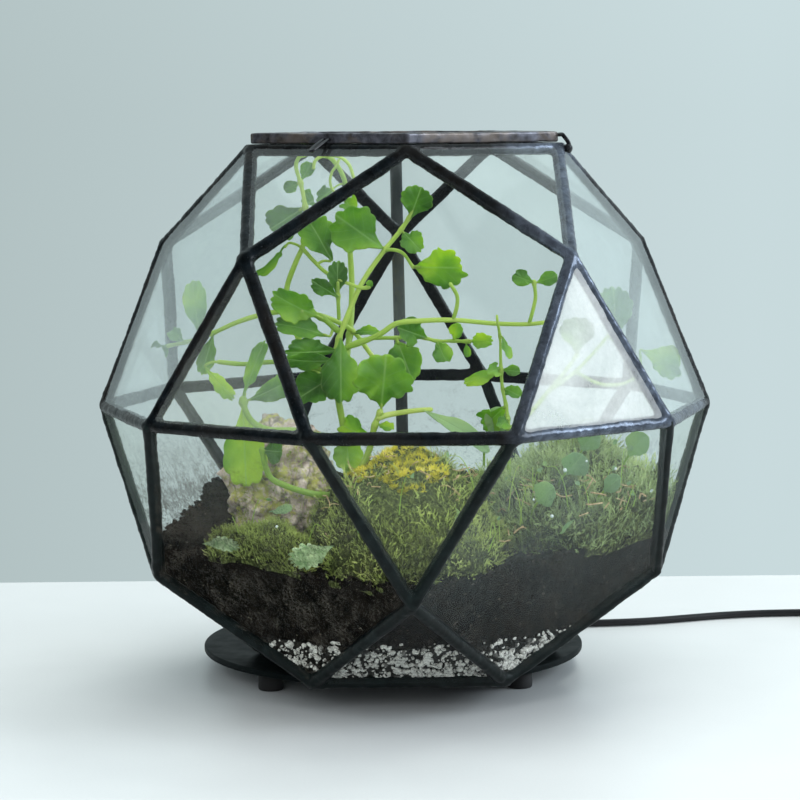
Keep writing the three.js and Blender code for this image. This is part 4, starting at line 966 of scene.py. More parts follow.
base()

# ------------------------------------------------------------------ what the glass holds: drainage, soil, stone, moss
RNG = np.random.default_rng(2024)
DRAIN_TOP = -106.0
_ico = None
def ico(level=1):
    """Icosphere vertices and triangles."""
    g = (1 + 5 ** 0.5) / 2
    v = unit(np.array([(-1, g, 0), (1, g, 0), (-1, -g, 0), (1, -g, 0), (0, -1, g), (0, 1, g), (0, -1, -g), (0, 1, -g), (g, 0, -1), (g, 0, 1), (-g, 0, -1), (-g, 0, 1)], float))
    t = np.array([(0, 11, 5), (0, 5, 1), (0, 1, 7), (0, 7, 10), (0, 10, 11), (1, 5, 9), (5, 11, 4), (11, 10, 2), (10, 7, 6), (7, 1, 8), (3, 9, 4), (3, 4, 2), (3, 2, 6), (3, 6, 8), (3, 8, 9), (4, 9, 5), (2, 4, 11), (6, 2, 10), (8, 6, 7), (9, 8, 1)])
    for _ in range(level):
        vs, cache, nt = list(v), {}, []
        def mid(a, b):
            k = (min(a, b), max(a, b))
            if k not in cache:
                cache[k] = len(vs)
                vs.append(unit(vs[a] + vs[b]))
            return cache[k]
        for a, b, c in t:
            x, y, z = mid(a, b), mid(b, c), mid(c, a)
            nt += [(a, x, z), (b, y, x), (c, z, y), (x, y, z)]
        v, t = np.array(vs), np.array(nt)
    return v, t
def rand_rot(n, rng):
    q = unit(rng.standard_normal((n, 4)))
    w, x, y, z = q.T
    return np.stack([np.stack([1 - 2 * (y * y + z * z), 2 * (x * y - z * w), 2 * (x * z + y * w)], -1),
                     np.stack([2 * (x * y + z * w), 1 - 2 * (x * x + z * z), 2 * (y * z - x * w)], -1),
                     np.stack([2 * (x * z - y * w), 2 * (y * z + x * w), 1 - 2 * (x * x + y * y)], -1)], -2)
def crumbs(bag, places, sizes, level, rng, tone, rough=0.28, squash=0.75, keep=None, kinds=12):
    """Irregular lumps at places."""
    v, t = ico(level)
    shapes = []
    for k in range(kinds):
        s = v * (1 + rough * fractal(v * 3 + k * 11.3, 1.9, 2, k))[:, None]
        s[:, 2] *= squash
        cut = unit(rng.standard_normal((3, 3)))
        for c in cut:  # broken faces
            h = s @ c - 0.62
            s = s - np.maximum(h, 0)[:, None] * c
        shapes.append(s)
    shapes = np.array(shapes)
    n = len(places)
    kind = rng.integers(0, kinds, n)
    rot = rand_rot(n, rng)
    p = np.einsum("nij,nkj->nki", rot, shapes[kind]) * np.asarray(sizes)[:, None, None] + np.asarray(places)[:, None]
    m = len(v)
    flat = p.reshape(-1, 3)
    if keep is not None:
        flat = inside(flat, keep)
    tris = (t[None] + (np.arange(n) * m)[:, None, None]).reshape(-1, 3)
    bag.add(flat, tris=tris, tone=np.repeat(tone, m))

def band(bag, z_low, top, off, n=480, rows=22, rings=44, grain=1.0, seed=1, floor=None):
    """The body of a layer: against the panes all round, its top a surface z = top(x, y)."""
    th = np.linspace(0, 2 * np.pi, n, endpoint=False)
    d = np.stack([np.sin(th), -np.cos(th)], 1)
    zt = np.full(n, float(z_low) + 20)
    for _ in range(6):
        r = wall(th, zt, off)
        zt = top(d[:, 0] * r, d[:, 1] * r)
    out = []
    for s in np.linspace(0, 1, rows):
        z = z_low + (zt - z_low) * s
        r = wall(th, z, off)
        p = np.stack([d[:, 0] * r, d[:, 1] * r, z], 1)
        push = np.abs(fractal(p, 2.6, 3, seed)) * 0.85 * grain + np.maximum(0, fractal(p, 8, 2, seed + 4)) * 0.7 * grain
        p[:, :2] -= d * push[:, None]
        out.append(p)
    rt = wall(th, zt, off)
    for s in np.linspace(1, 0.02, rings)[1:]:
        x, y = d[:, 0] * rt * s, d[:, 1] * rt * s
        p = np.stack([x, y, top(x, y)], 1)
        p[:, 2] += (fractal(p, 4.5, 3, seed + 7) * 0.7 + fractal(p, 14, 2, seed + 9) * 0.9) * grain * min(1.0, (1 - s) * 14)
        out.append(p)
    bottom = []
    for s in np.linspace(0.98, 0.02, 8)[::-1]:
        r = wall(th, np.full(n, float(z_low)), off) * s
        bottom.append(np.stack([d[:, 0] * r, d[:, 1] * r, np.full(n, z_low)], 1))
    rowsv = np.array(bottom + out)
    m = len(rowsv)
    v = np.concatenate([rowsv.reshape(-1, 3), rowsv[0].mean(0)[None], rowsv[-1].mean(0)[None]])
    j = np.arange(n)
    k = (j + 1) % n
    bag.add(v, grid_faces(m, n), np.concatenate([np.stack([np.full(n, m * n), k, j], 1), np.stack([np.full(n, m * n + 1), (m - 1) * n + j, (m - 1) * n + k], 1)]), tone=0.0)

def soil_material():
    m = Mat("potting_soil")
    tone = m.attr("tone")
    big, mid, fine = m.noise(60, 5, 0.65), m.noise(300, 6, 0.75), m.noise(700, 4, 0.7)
    col = m.mix(m.ramp(mid, [(0.44, 0.0), (0.62, 1.0)]), (0.0006, 0.0005, 0.0005), (0.0085, 0.0065, 0.0048))
    col = m.mix(m.ramp(big, [(0.46, 0.0), (0.72, 0.4)]), col, (0.014, 0.010, 0.007))
    col = m.mix(m.math("MULTIPLY", m.ramp(m.noise(420, 4, 0.65), [(0.61, 0.0), (0.68, 1.0)]), 0.75), col, (0.085, 0.074, 0.062))
    col = m.mix(m.math("MULTIPLY", m.ramp(fine, [(0.63, 0.0), (0.71, 1.0)]), 0.4), col, (0.10, 0.09, 0.08))
    col = m.mix(m.ramp(m.cells(170, out=0), [(0.03, 0.65), (0.10, 0.0)]), col, (0.22, 0.19, 0.15))
    col = m.mix(m.ramp(tone, [(0.5, 0.0), (1.0, 0.8)]), col, (0.10, 0.075, 0.05))
    h = m.math("ADD", m.math("MULTIPLY", mid, 0.7), m.math("MULTIPLY", fine, 0.4))
    return m.done(m.principled(col, m.ramp(fine, [(0.3, 0.62), (0.8, 0.95)]), 0.0, m.bump(h, 0.6, 0.0010), Specular_IOR_Level=0.03))
def perlite_material():
    m = Mat("perlite")
    tone = m.attr("tone")
    mid, fine = m.noise(420, 5, 0.7), m.noise(800, 5, 0.75)
    light = m.mix(m.ramp(mid, [(0.3, 0.0), (0.75, 1.0)]), (0.54, 0.52, 0.48), (0.93, 0.92, 0.87))
    # tone under 0.24 is near black, over 0.40 light: the layer's body behind the granules has tone 0, a painted shade
    # in the gaps between them; granules with a low tone are near black too
    col = m.mix(m.ramp(tone, [(0.24, 0.0), (0.40, 1.0)]), (0.006, 0.005, 0.004), light)
    col = m.mix(m.ramp(fine, [(0.38, 0.85), (0.52, 0.0)]), col, (0.030, 0.026, 0.021))
    return m.done(m.principled(col, 0.9, 0.0, m.bump(m.math("ADD", mid, m.math("MULTIPLY", fine, 0.5)), 0.7, 0.0006)))
SOIL, PERLITE = soil_material(), perlite_material()

def drainage():
    bag = Bag()
    top = lambda x, y: -105.6 + 1.8 * value_noise(np.stack([x, y, 0 * x], 1), 16, 2) * 0.6
    band(bag, -129.0, lambda x, y: np.minimum(top(x, y), -104.0), 2.6, 300, 12, 16, 1.0, 5)
    rng = np.random.default_rng(77)
    # granules behind the panes
    n = 4800
    th = rng.uniform(0, 2 * np.pi, n)
    z = -128.6 + rng.beta(1.15, 1.5, n) * 27.0
    edge = -104.5 + 3.2 * value_noise(np.stack([np.sin(th) * 60, np.cos(th) * 60, 0 * th], 1), 11, 3)
    keep = z < edge + rng.exponential(1.2, n)
    th, z = th[keep], z[keep]
    size = rng.gamma(4.0, 0.27, len(th)).clip(0.5, 2.3)
    r = wall(th, z, 1.6) - size * 0.75
    d = np.stack([np.sin(th), -np.cos(th)], 1)
    p = np.stack([d[:, 0] * r, d[:, 1] * r, z], 1)
    patch = value_noise(p, 9, 6) * 0.42 + rng.normal(0, 0.30, len(p)) + 0.52 + 0.010 * (-(z + 112)).clip(-12, 12)
    big = size > 1.33
    crumbs(bag, p[big], size[big], 1, rng, patch.clip(0, 1)[big], keep=1.5)
    crumbs(bag, p[~big], size[~big] * 1.12, 0, rng, patch.clip(0, 1)[~big], keep=1.5, rough=0.12)
    return build("drainage_granules", bag, PERLITE, replaces=("drainage_layer",), smooth=True)
drainage()

def slope(x, y):
    """Ground: the soil's surface, a little uneven."""
    x, y = np.asarray(x, float), np.asarray(y, float)
    q = np.stack([np.ravel(x), np.ravel(y), 0 * np.ravel(x)], 1)
    s = np.clip((-x - 78) / 26, 0, 1)
    low = 10.5 * s * s * (3 - 2 * s) * np.clip((58 - y) / 55, 0, 1) * np.clip((y + 90) / 50, 0.3, 1)   # it falls away along the left-hand panes
    return soil_top(x, y) - low + (1.5 * value_noise(q, 13, 21) + 0.9 * value_noise(q, 5, 22)).reshape(np.shape(x))
def soil():
    bag = Bag()
    band(bag, -105.6, slope, 1.75, 480, 24, 46, 1.0, 1)
    rng = np.random.default_rng(5)
    # crumbs on the surface and along the panes
    n = 4200
    th = rng.uniform(0, 2 * np.pi, n)
    d = np.stack([np.sin(th), -np.cos(th)], 1)
    zt = np.full(n, -60.0)
    for _ in range(6):
        r = wall(th, zt, 1.7)
        zt = slope(d[:, 0] * r, d[:, 1] * r)
    s = 1 - rng.exponential(0.05, n).clip(0, 0.9)
    s = np.where(rng.random(n) < 0.5, np.sqrt(rng.random(n)), s)
    x, y = d[:, 0] * r * s, d[:, 1] * r * s
    size = rng.gamma(4.0, 0.22, n).clip(0.35, 2.2)
    p = np.stack([x, y, slope(x, y) + size * rng.uniform(-0.2, 0.6, n)], 1)
    crumbs(bag, p, size, 0, rng, rng.beta(1.2, 5, n), keep=1.7, squash=0.85)
    return build("soil_body", bag, SOIL, replaces=("soil",))
soil()

# stone
def lump_mesh(c, rad, level, wob, seed, off=1.9, sink=5.0, bumps=()):
    v, t = ico(level)
    k = 1 + wob * (np.sin(5 * v[:, 0] + 1.3) * np.cos(4 * v[:, 1] - 0.7) + 0.6 * np.sin(6 * v[:, 2] + 2 * v[:, 0]))
    p = np.array(c) + v * np.array(rad) * k[:, None]
    nrm = unit(v / np.array(rad))
    for size, amp in bumps:
        p = p + nrm * (amp * fractal(p, size, 3, seed))[:, None]
    low = slope(p[:, 0], p[:, 1]) - sink
    p[:, 2] = np.maximum(p[:, 2], low)
    return inside(p, off), t, nrm
def stone_material():
    m = Mat("stone")
    big, mid, fine = m.noise(45, 5, 0.65, 0.5), m.noise(220, 6, 0.7), m.noise(900, 4, 0.7)
    col = m.mix(m.ramp(mid, [(0.3, 0.0), (0.72, 1.0)]), (0.40, 0.27, 0.22), (1.0, 0.88, 0.80))
    col = m.mix(m.ramp(big, [(0.5, 0.0), (0.64, 0.85)]), col, (0.10, 0.082, 0.060))
    crack = m.ramp(m.cells(75, "DISTANCE_TO_EDGE", out=0), [(0.0, 1.0), (0.07, 0.0)])
    col = m.mix(m.math("MULTIPLY", crack, 0.6), col, (0.045, 0.035, 0.028))
    moss = m.ramp(m.noise(130, 6, 0.75, 0.3), [(0.49, 0.0), (0.58, 1.0)])
    col = m.mix(m.math("MULTIPLY", moss, 0.8), col, (0.50, 0.50, 0.08))
    h = m.math("ADD", m.math("MULTIPLY", mid, 0.8), m.math("MULTIPLY", fine, 0.3))
    return m.done(m.principled(col, 0.82, 0.0, m.bump(h, 1.0, 0.0022), Specular_IOR_Level=0.2))
STONE = stone_material()
def stone():
    bag = Bag()
    p, t, _ = lump_mesh((-60, -28, -36), (25, 20, 34), 5, 0.08, 7, bumps=((17, 2.6), (7, 1.9), (3, 0.8)))
    bag.add(p, tris=t)
    build("rock", bag, STONE, replaces=("stone",))
    return p, t
stone_mesh = stone()

# ------------------------------------------------------------------ moss
def moss_material(name, dark, mid, light, gold=None, shine=0.12):
    m = Mat(name)
    tone = m.attr("tone")
    n = m.noise(120, 4, 0.6)
    k = m.math("ADD", m.math("MULTIPLY", tone, 0.8), m.math("MULTIPLY", n, 0.2))
    stops = [(0.10, dark), (0.42, mid), (0.72, light)] + ([(0.95, gold)] if gold else [])
    col = m.ramp(k, stops)
    leafy = m.principled(col, 0.6, 0.0, Specular_IOR_Level=0.15)
    through = m.node("ShaderNodeBsdfTranslucent").inputs["Color"]
    m.put(through, m.mix(0.35, col, (0.75, 0.85, 0.15)))
    return m.done(m.blend(0.38, leafy, through.node.outputs[0]))
def mound_material():
    m = Mat("moss_bed")
    a, b = m.noise(260, 5, 0.7), m.noise(1100, 4, 0.7)
    strands = m.noise(1, 4, 0.65, 0.5, m.scaled((820, 820, 300)))
    col = m.mix(m.ramp(a, [(0.35, 0.0), (0.7, 1.0)]), (0.012, 0.015, 0.006), (0.085, 0.100, 0.032))
    col = m.mix(m.math("MULTIPLY", m.ramp(strands, [(0.50, 0.0), (0.60, 1.0)]), 0.75), col, (0.23, 0.28, 0.085))
    col = m.mix(m.math("MULTIPLY", m.ramp(b, [(0.38, 1.0), (0.48, 0.0)]), 0.7), col, (0.006, 0.008, 0.003))
    return m.done(m.principled(col, 0.9, 0.0, m.bump(m.math("ADD", a, m.math("MULTIPLY", b, 0.5)), 1.0, 0.002), Specular_IOR_Level=0.05))
BED = mound_material()
MOSS_GREEN = moss_material("moss_green", (0.030, 0.042, 0.014), (0.24, 0.30, 0.085), (0.55, 0.65, 0.20), (0.85, 0.88, 0.36))
MOSS_GOLD_LIT = moss_material("moss_gold_lit", (0.030, 0.028, 0.004), (0.33, 0.28, 0.016), (0.86, 0.73, 0.05), (0.98, 0.88, 0.32))
MOSS_SOFT = moss_material("moss_soft", (0.05, 0.07, 0.035), (0.26, 0.35, 0.15), (0.54, 0.66, 0.31), (0.84, 0.90, 0.56))

def feather(rng, pairs=7, spread=0.24, thick=0.012, bend=0.25):
    """One moss shoot, 1 tall: a bent stem with narrow leaflets up both sides and round it."""
    v, t = [], []
    def leaf(a, d, L, w, up):
        side = unit(np.cross(d, up)) * w
        i = len(v)
        v.extend([a + side, a + d * L, a - side + d * L * 0.2])
        t.append((i, i + 1, i + 2))
    lean = np.array([bend * rng.uniform(-1, 1), bend * rng.uniform(-1, 1)])
    at = lambda s: np.array([lean[0] * s * s, lean[1] * s * s, s])
    # stem: a thin ribbon
    n = 3
    base = len(v)
    for k in range(n):
        s = k / (n - 1)
        for a in (0, math.pi):
            v.append(at(s) + np.array([math.cos(a), math.sin(a), 0]) * thick * 1.2 * (1.1 - s))
    for k in range(n - 1):
        a = base + 2 * k
        t.extend([(a, a + 1, a + 3), (a, a + 3, a + 2)])
    turn = rng.uniform(0, 6.28)
    for k in range(pairs):
        s = 0.18 + 0.8 * k / pairs
        for side in (0, math.pi):
            a = turn + side + k * 0.55 + rng.uniform(-0.25, 0.25)
            d = unit(np.array([math.cos(a), math.sin(a), 0.75 + 0.5 * s]))
            leaf(at(s), d, spread * (1.15 - 0.5 * s) * rng.uniform(0.8, 1.2), spread * 0.17, np.array([0, 0, 1.0]))
    leaf(at(0.96), np.array([0, 0.05, 1.0]), 0.12, 0.03, np.array([1.0, 0, 0]))
    return np.array(v), np.array(t)
def star(rng, leaves=11):
    """A tuft of pointed leaves that open from one point."""
    v, t = [], []
    for k in range(leaves):
        a = k * 2.4 + rng.uniform(-0.3, 0.3)
        tilt = rng.uniform(0.25, 1.15)
        d = np.array([math.cos(a) * math.sin(tilt), math.sin(a) * math.sin(tilt), math.cos(tilt)])
        side = unit(np.cross(d, (0, 0, 1.0))) * 0.07
        L = rng.uniform(0.6, 1.0)
        i = len(v)
        v.extend([np.zeros(3), d * L * 0.45 + side, d * L + np.array([0, 0, -0.08 * L]), d * L * 0.45 - side])
        t.extend([(i, i + 1, i + 2), (i, i + 2, i + 3)])
    return np.array(v), np.array(t)
def sow(bag, mesh, n, kinds, height, rng, tone, up=0.55, mask=None, keep=1.55, tilt=0.35):
    """Shoots over a mesh's faces: mesh is (points, triangles)."""
    p, t = mesh
    a, b, c = p[t[:, 0]], p[t[:, 1]], p[t[:, 2]]
    cr = np.cross(b - a, c - a)
    area = np.linalg.norm(cr, axis=1) / 2
    nrm = unit(cr)
    pick = rng.choice(len(t), n, p=area / area.sum())
    u, w = rng.random((2, n))
    flip = u + w > 1
    u[flip], w[flip] = 1 - u[flip], 1 - w[flip]
    at = a[pick] + (b - a)[pick] * u[:, None] + (c - a)[pick] * w[:, None]
    nn = nrm[pick]
    ok = at[:, 2] > slope(at[:, 0], at[:, 1]) - 2.0
    if mask is not None:
        ok &= mask(at, nn, rng)
    at, nn = at[ok], nn[ok]
    n = len(at)
    z = unit(nn * (1 - up) + np.array([0, 0, up]) + rng.normal(0, tilt, (n, 3)))
    x = unit(np.cross(z, unit(rng.standard_normal((n, 3)))))
    y = np.cross(z, x)
    h = height(at, rng)
    m = np.stack([x, y, z], -1) * h[:, None, None]
    tn = tone(at, nn, rng)
    which = rng.integers(0, len(kinds), n)
    for k, (v, tt) in enumerate(kinds):
        s = which == k
        if not s.any():
            continue
        q = np.einsum("nij,kj->nki", m[s], v) + at[s][:, None]
        q = inside(q.reshape(-1, 3), keep)
        tris = (tt[None] + (np.arange(s.sum()) * len(v))[:, None, None]).reshape(-1, 3)
        tip = np.tile(v[:, 2].clip(0, 1) * 0.28 - 0.12, s.sum())
        bag.add(q, tris=tris, tone=(np.repeat(tn[s], len(v)) + tip).clip(0, 1))
def moss_beds():
    rng = np.random.default_rng(31)
    F = [feather(rng, 7) for _ in range(7)]
    FL = [feather(rng, 10, 0.16, 0.008, 0.45) for _ in range(7)]
    S = [star(rng) for _ in range(6)]
    # centre mound: a golden top, partly golden moss and partly a painted pool of light; a dark flank with green strands
    p, t, _ = lump_mesh((0, -52, -62), (46, 70, 42), 5, 0.04, 3, bumps=((14, 1.8), (6, 1.2), (3, 0.7)))
    fall = np.clip((p[:, 0] - 12) / 26, 0, 1)
    p[:, 2] = np.maximum(p[:, 2] - 10 * fall * fall * (3 - 2 * fall) * (p[:, 2] > -52), np.minimum(p[:, 2], -52))
    centre = (p, t)
    bag = Bag()
    bag.add(p, tris=t, tone=0.1)
    build("moss_bed_centre", bag, BED, replaces=("moss_centre",))
    gold = Bag()
    # the gold tufts grow lighter the higher they stand: painted light on the mound's top
    sow(gold, centre, 6500, S, lambda a, r: r.uniform(1.8, 4.8, len(a)), rng,
        lambda a, n, r: (0.50 + 0.22 * value_noise(a, 7, 4) + r.normal(0, 0.12, len(a)) + 0.012 * (a[:, 2] + 30)).clip(0.05, 1), mask=lambda a, n, r: (a[:, 2] > -27.5 + 3.5 * value_noise(a, 8, 2)) & (a[:, 0] < 17 + 7 * value_noise(a, 9, 14)))
    build("moss_gold_tufts", gold, MOSS_GOLD_LIT, smooth=False)
    green = Bag()
    sow(green, centre, 2600, FL, lambda a, r: r.uniform(5.0, 11.0, len(a)), rng,
        lambda a, n, r: (0.58 + 0.2 * value_noise(a, 9, 15) + r.normal(0, 0.13, len(a))).clip(0.02, 1),
        mask=lambda a, n, r: (a[:, 2] > -44) & (a[:, 2] < -24) & (value_noise(a, 5, 18) + r.normal(0, 0.4, len(a)) > 0.75), up=0.25)
    sow(green, centre, 2600, F, lambda a, r: r.uniform(3.0, 7.0, len(a)), rng,
        lambda a, n, r: (0.50 + 0.2 * value_noise(a, 9, 15) + r.normal(0, 0.13, len(a))).clip(0.02, 1),
        mask=lambda a, n, r: (a[:, 0] > 12 + 6 * value_noise(a, 9, 14)) & (a[:, 2] > -46))
    sow(green, centre, 11000, F, lambda a, r: r.uniform(2.0, 5.0, len(a)), rng,
        lambda a, n, r: (0.50 + 0.22 * value_noise(a, 11, 5) + r.normal(0, 0.13, len(a)) - 0.004 * (a[:, 2] + 50)).clip(0.02, 1),
        mask=lambda a, n, r: (a[:, 2] < -40 + 4 * value_noise(a, 10, 2)) & (value_noise(a, 9, 8) + r.normal(0, 0.5, len(a)) > -0.6), up=0.5)
    build("moss_green_shoots", green, MOSS_GREEN, smooth=False)
    # right: tall soft moss
    p, t, _ = lump_mesh((85, -15, -58), (50, 60, 33), 5, 0.04, 5, bumps=((20, 3.6), (9, 1.8), (5, 1.0)))
    right = (p, t)
    bag = Bag()
    bag.add(p, tris=t, tone=0.1)
    build("moss_bed_right", bag, BED, replaces=("moss_right",))
    soft = Bag()
    sow(soft, right, 7600, FL[:4] + F, lambda a, r: r.uniform(2.6, 9.5, len(a)), rng,
        lambda a, n, r: (0.42 + 0.2 * value_noise(a, 12, 6) + r.normal(0, 0.13, len(a))).clip(0.05, 1), up=0.6, tilt=0.3)
    build("moss_soft_shoots", soft, MOSS_SOFT, smooth=False)
    # left: low bright moss in front of the stone
    p, t, _ = lump_mesh((-70, -74, -66), (27, 24, 17), 4, 0.04, 6, bumps=((9, 1.2), (4, 0.6)))
    left = (p, t)
    bag = Bag()
    bag.add(p, tris=t, tone=0.1)
    build("moss_bed_left", bag, BED, replaces=("moss_left",))
    low = Bag()
    sow(low, left, 4200, F, lambda a, r: r.uniform(1.8, 4.6, len(a)), rng,
        lambda a, n, r: (0.55 + 0.2 * value_noise(a, 8, 7) + r.normal(0, 0.12, len(a))).clip(0.05, 1))
    sow(low, stone_mesh, 3000, F, lambda a, r: r.uniform(1.6, 4.2, len(a)), rng,
        lambda a, n, r: (0.5 + 0.2 * value_noise(a, 8, 7) + r.normal(0, 0.12, len(a))).clip(0.05, 1),
        mask=lambda a, n, r: value_noise(a, 9, 12) - 0.012 * (a[:, 2] + 38) + r.normal(0, 0.2, len(a)) > 0.35)
    build("moss_low_shoots", low, MOSS_GREEN, smooth=False)
moss_beds()

# ------------------------------------------------------------------ plants: stems as centre lines, leaves from where they start to their tips
STEMS = [
    ("m1", "main", [(-28, -24, -66), (-28.5, -23, -50), (-29.1, -22, -36.4), (-29, -22, -22.6), (-30.9, -22, -7.8), (-33.2, -22, 6.5), (-34, -22, 21.8), (-32.9, -22, 33), (-29, -20, 43.6), (-21, -16, 61.3), (-10.1, -12, 76.7), (-2.1, -10, 86.3), (1.8, -10, 91.9), (4.3, -10, 96.1)], 2, 1),
    ("m2", "main", [(-30.1, -24, -35.6), (-22.3, -30, -28), (-17.8, -34, -17.2), (-15.8, -36, -7.7), (-12.9, -38, 0.3)], 1.9, 1.3),
    ("m3", "main", [(-33.2, -22, 5.5), (-43.9, -16, 17.8), (-53.6, -8, 36.9), (-58, -4, 52.4), (-57.9, -3, 58.8), (-53.4, -4, 71.2), (-50.3, -4, 78), (-48.2, -6, 87.9), (-48.6, -8, 99.3), (-50.6, -10, 110.1), (-52.7, -12, 118.4), (-51.2, -14, 122.6), (-47.7, -16, 123.8)], 1.8, 0.9),
    ("m4", "main", [(-32.4, -22, 44.7), (-32.7, -24, 55.1), (-32.7, -26, 62.1)], 1, 0.8),
    ("m5", "main", [(-33.2, -22, 6.5), (-30.2, -8, 16.9), (-27, 6, 36.5), (-25.9, 12, 56.1), (-26.7, 12, 76), (-28, 8, 98.1), (-28.9, 4, 110.1), (-32.8, 0, 118.5), (-36.6, -3, 122.5), (-41.5, -6, 123.4)], 1.9, 1.1),
    ("m6", "main", [(-50.3, -4, 78), (-44.9, -12, 72.5), (-39.5, -18, 67.5), (-33.1, -24, 63.9), (-26.9, -26, 61.5), (-21.1, -28, 59.7), (-17.7, -28, 60.1)], 1.1, 0.8),
    ("l1", "main", [(-33.4, -22, 38.9), (-40.6, -26, 45.1), (-50.7, -30, 48.9), (-64.2, -32, 48.4), (-73.3, -32, 46.5), (-82.6, -30, 43.3), (-92.8, -26, 38.5), (-100.7, -20, 35.1), (-109.5, -13, 32.3), (-116.7, -8, 30.5)], 1.5, 0.9),
    ("l2", "main", [(-50.6, -34, 49.2), (-40.7, -12, 45), (-32.5, -2, 40.9), (-25.1, 4, 35.7), (-16.2, 6, 23.6), (-9.3, 4, 15.6)], 1.4, 1.1),
    ("l3", "main", [(-37, -24, 18.5), (-51.4, -30, 23.1), (-64.4, -34, 24.6), (-78.7, -38, 24.1), (-90.2, -38, 25.2)], 1.3, 1.1),
    ("r1", "main", [(-33.5, -22, 23.2), (-29.6, -22, 29.6), (-22.2, -26, 32.8), (-12.5, -30, 37.4), (-4.5, -32, 42.6), (7.5, -34, 44), (22.7, -36, 44.4), (43.3, -38, 42.7), (59.1, -40, 42.5), (68.1, -42, 43.6)], 1.5, 1),
    ("r2", "main", [(-29.1, -22, 30.5), (-21.2, -16, 33.4), (-12.4, -14, 34.1), (-4.5, -14, 34.1), (2.4, -14, 34.5), (9.7, -14, 33.9), (15.6, -14, 32.4), (23, -14, 32.4), (31.7, -16, 32.2)], 1, 0.8),
    ("r3", "main", [(59.1, -40, 42.5), (61, -40, 49.3), (62.2, -40, 55.5), (61.5, -40, 62.7)], 1, 0.8),
    ("r4", "main", [(-10.1, -12, 76.7), (-7.1, -13, 77.4), (-1.3, -15, 76), (3.9, -18, 69.1)], 0.9, 0.8),
    ("r5", "main", [(22.7, -36, 44.4), (24.5, -38, 51.3), (24.5, -40, 56.3), (21.3, -42, 62.2)], 1, 0.9),
    ("b1", "main", [(-30.1, -24, -36.6), (-34.4, -46, -38.3), (-41, -60, -36.7), (-47.8, -68, -34.4), (-57.8, -72, -30.5), (-64.8, -74, -26.3), (-67.7, -74, -19.3), (-68.8, -74, -13.1)], 1.9, 1.3),
    ("b2", "main", [(-31, -22, -15), (-37, -31, -12.5), (-43, -42, -10.5), (-49, -55, -7.6), (-54.6, -64, -5.2), (-65.5, -66, -4.6), (-73.3, -66, -0.8), (-77.2, -64, 5.7), (-77.9, -62, 9.3)], 1.9, 1.4),
    ("s1", "right", [(50, -38, -64), (49.6, -39, -40), (49.3, -40, -16.5), (49.3, -40, -8.8), (47.9, -40, 3.4), (46.3, -40, 11.3), (45.5, -40, 21.9), (45.1, -40, 36.2), (43.6, -46, 44.1), (43.3, -46, 47)], 1.2, 0.6),
    ("t1", "right", [(49.3, -40, -8.8), (59.6, -24, -3.4), (70.9, -4, 5.7), (81.2, 12, 15), (87.4, 20, 21.8)], 1.3, 0.9),
    ("t2", "right", [(70.9, -4, 5.7), (85.4, 8, 14.4), (96.6, 16, 24.6), (105, 20, 33.8)], 1.1, 0.8),
    ("t3", "right", [(85.4, 8, 14.4), (98.1, 10, 8), (109.4, 13, 7.6), (119.3, 16, 11.8)], 1, 0.8),
]
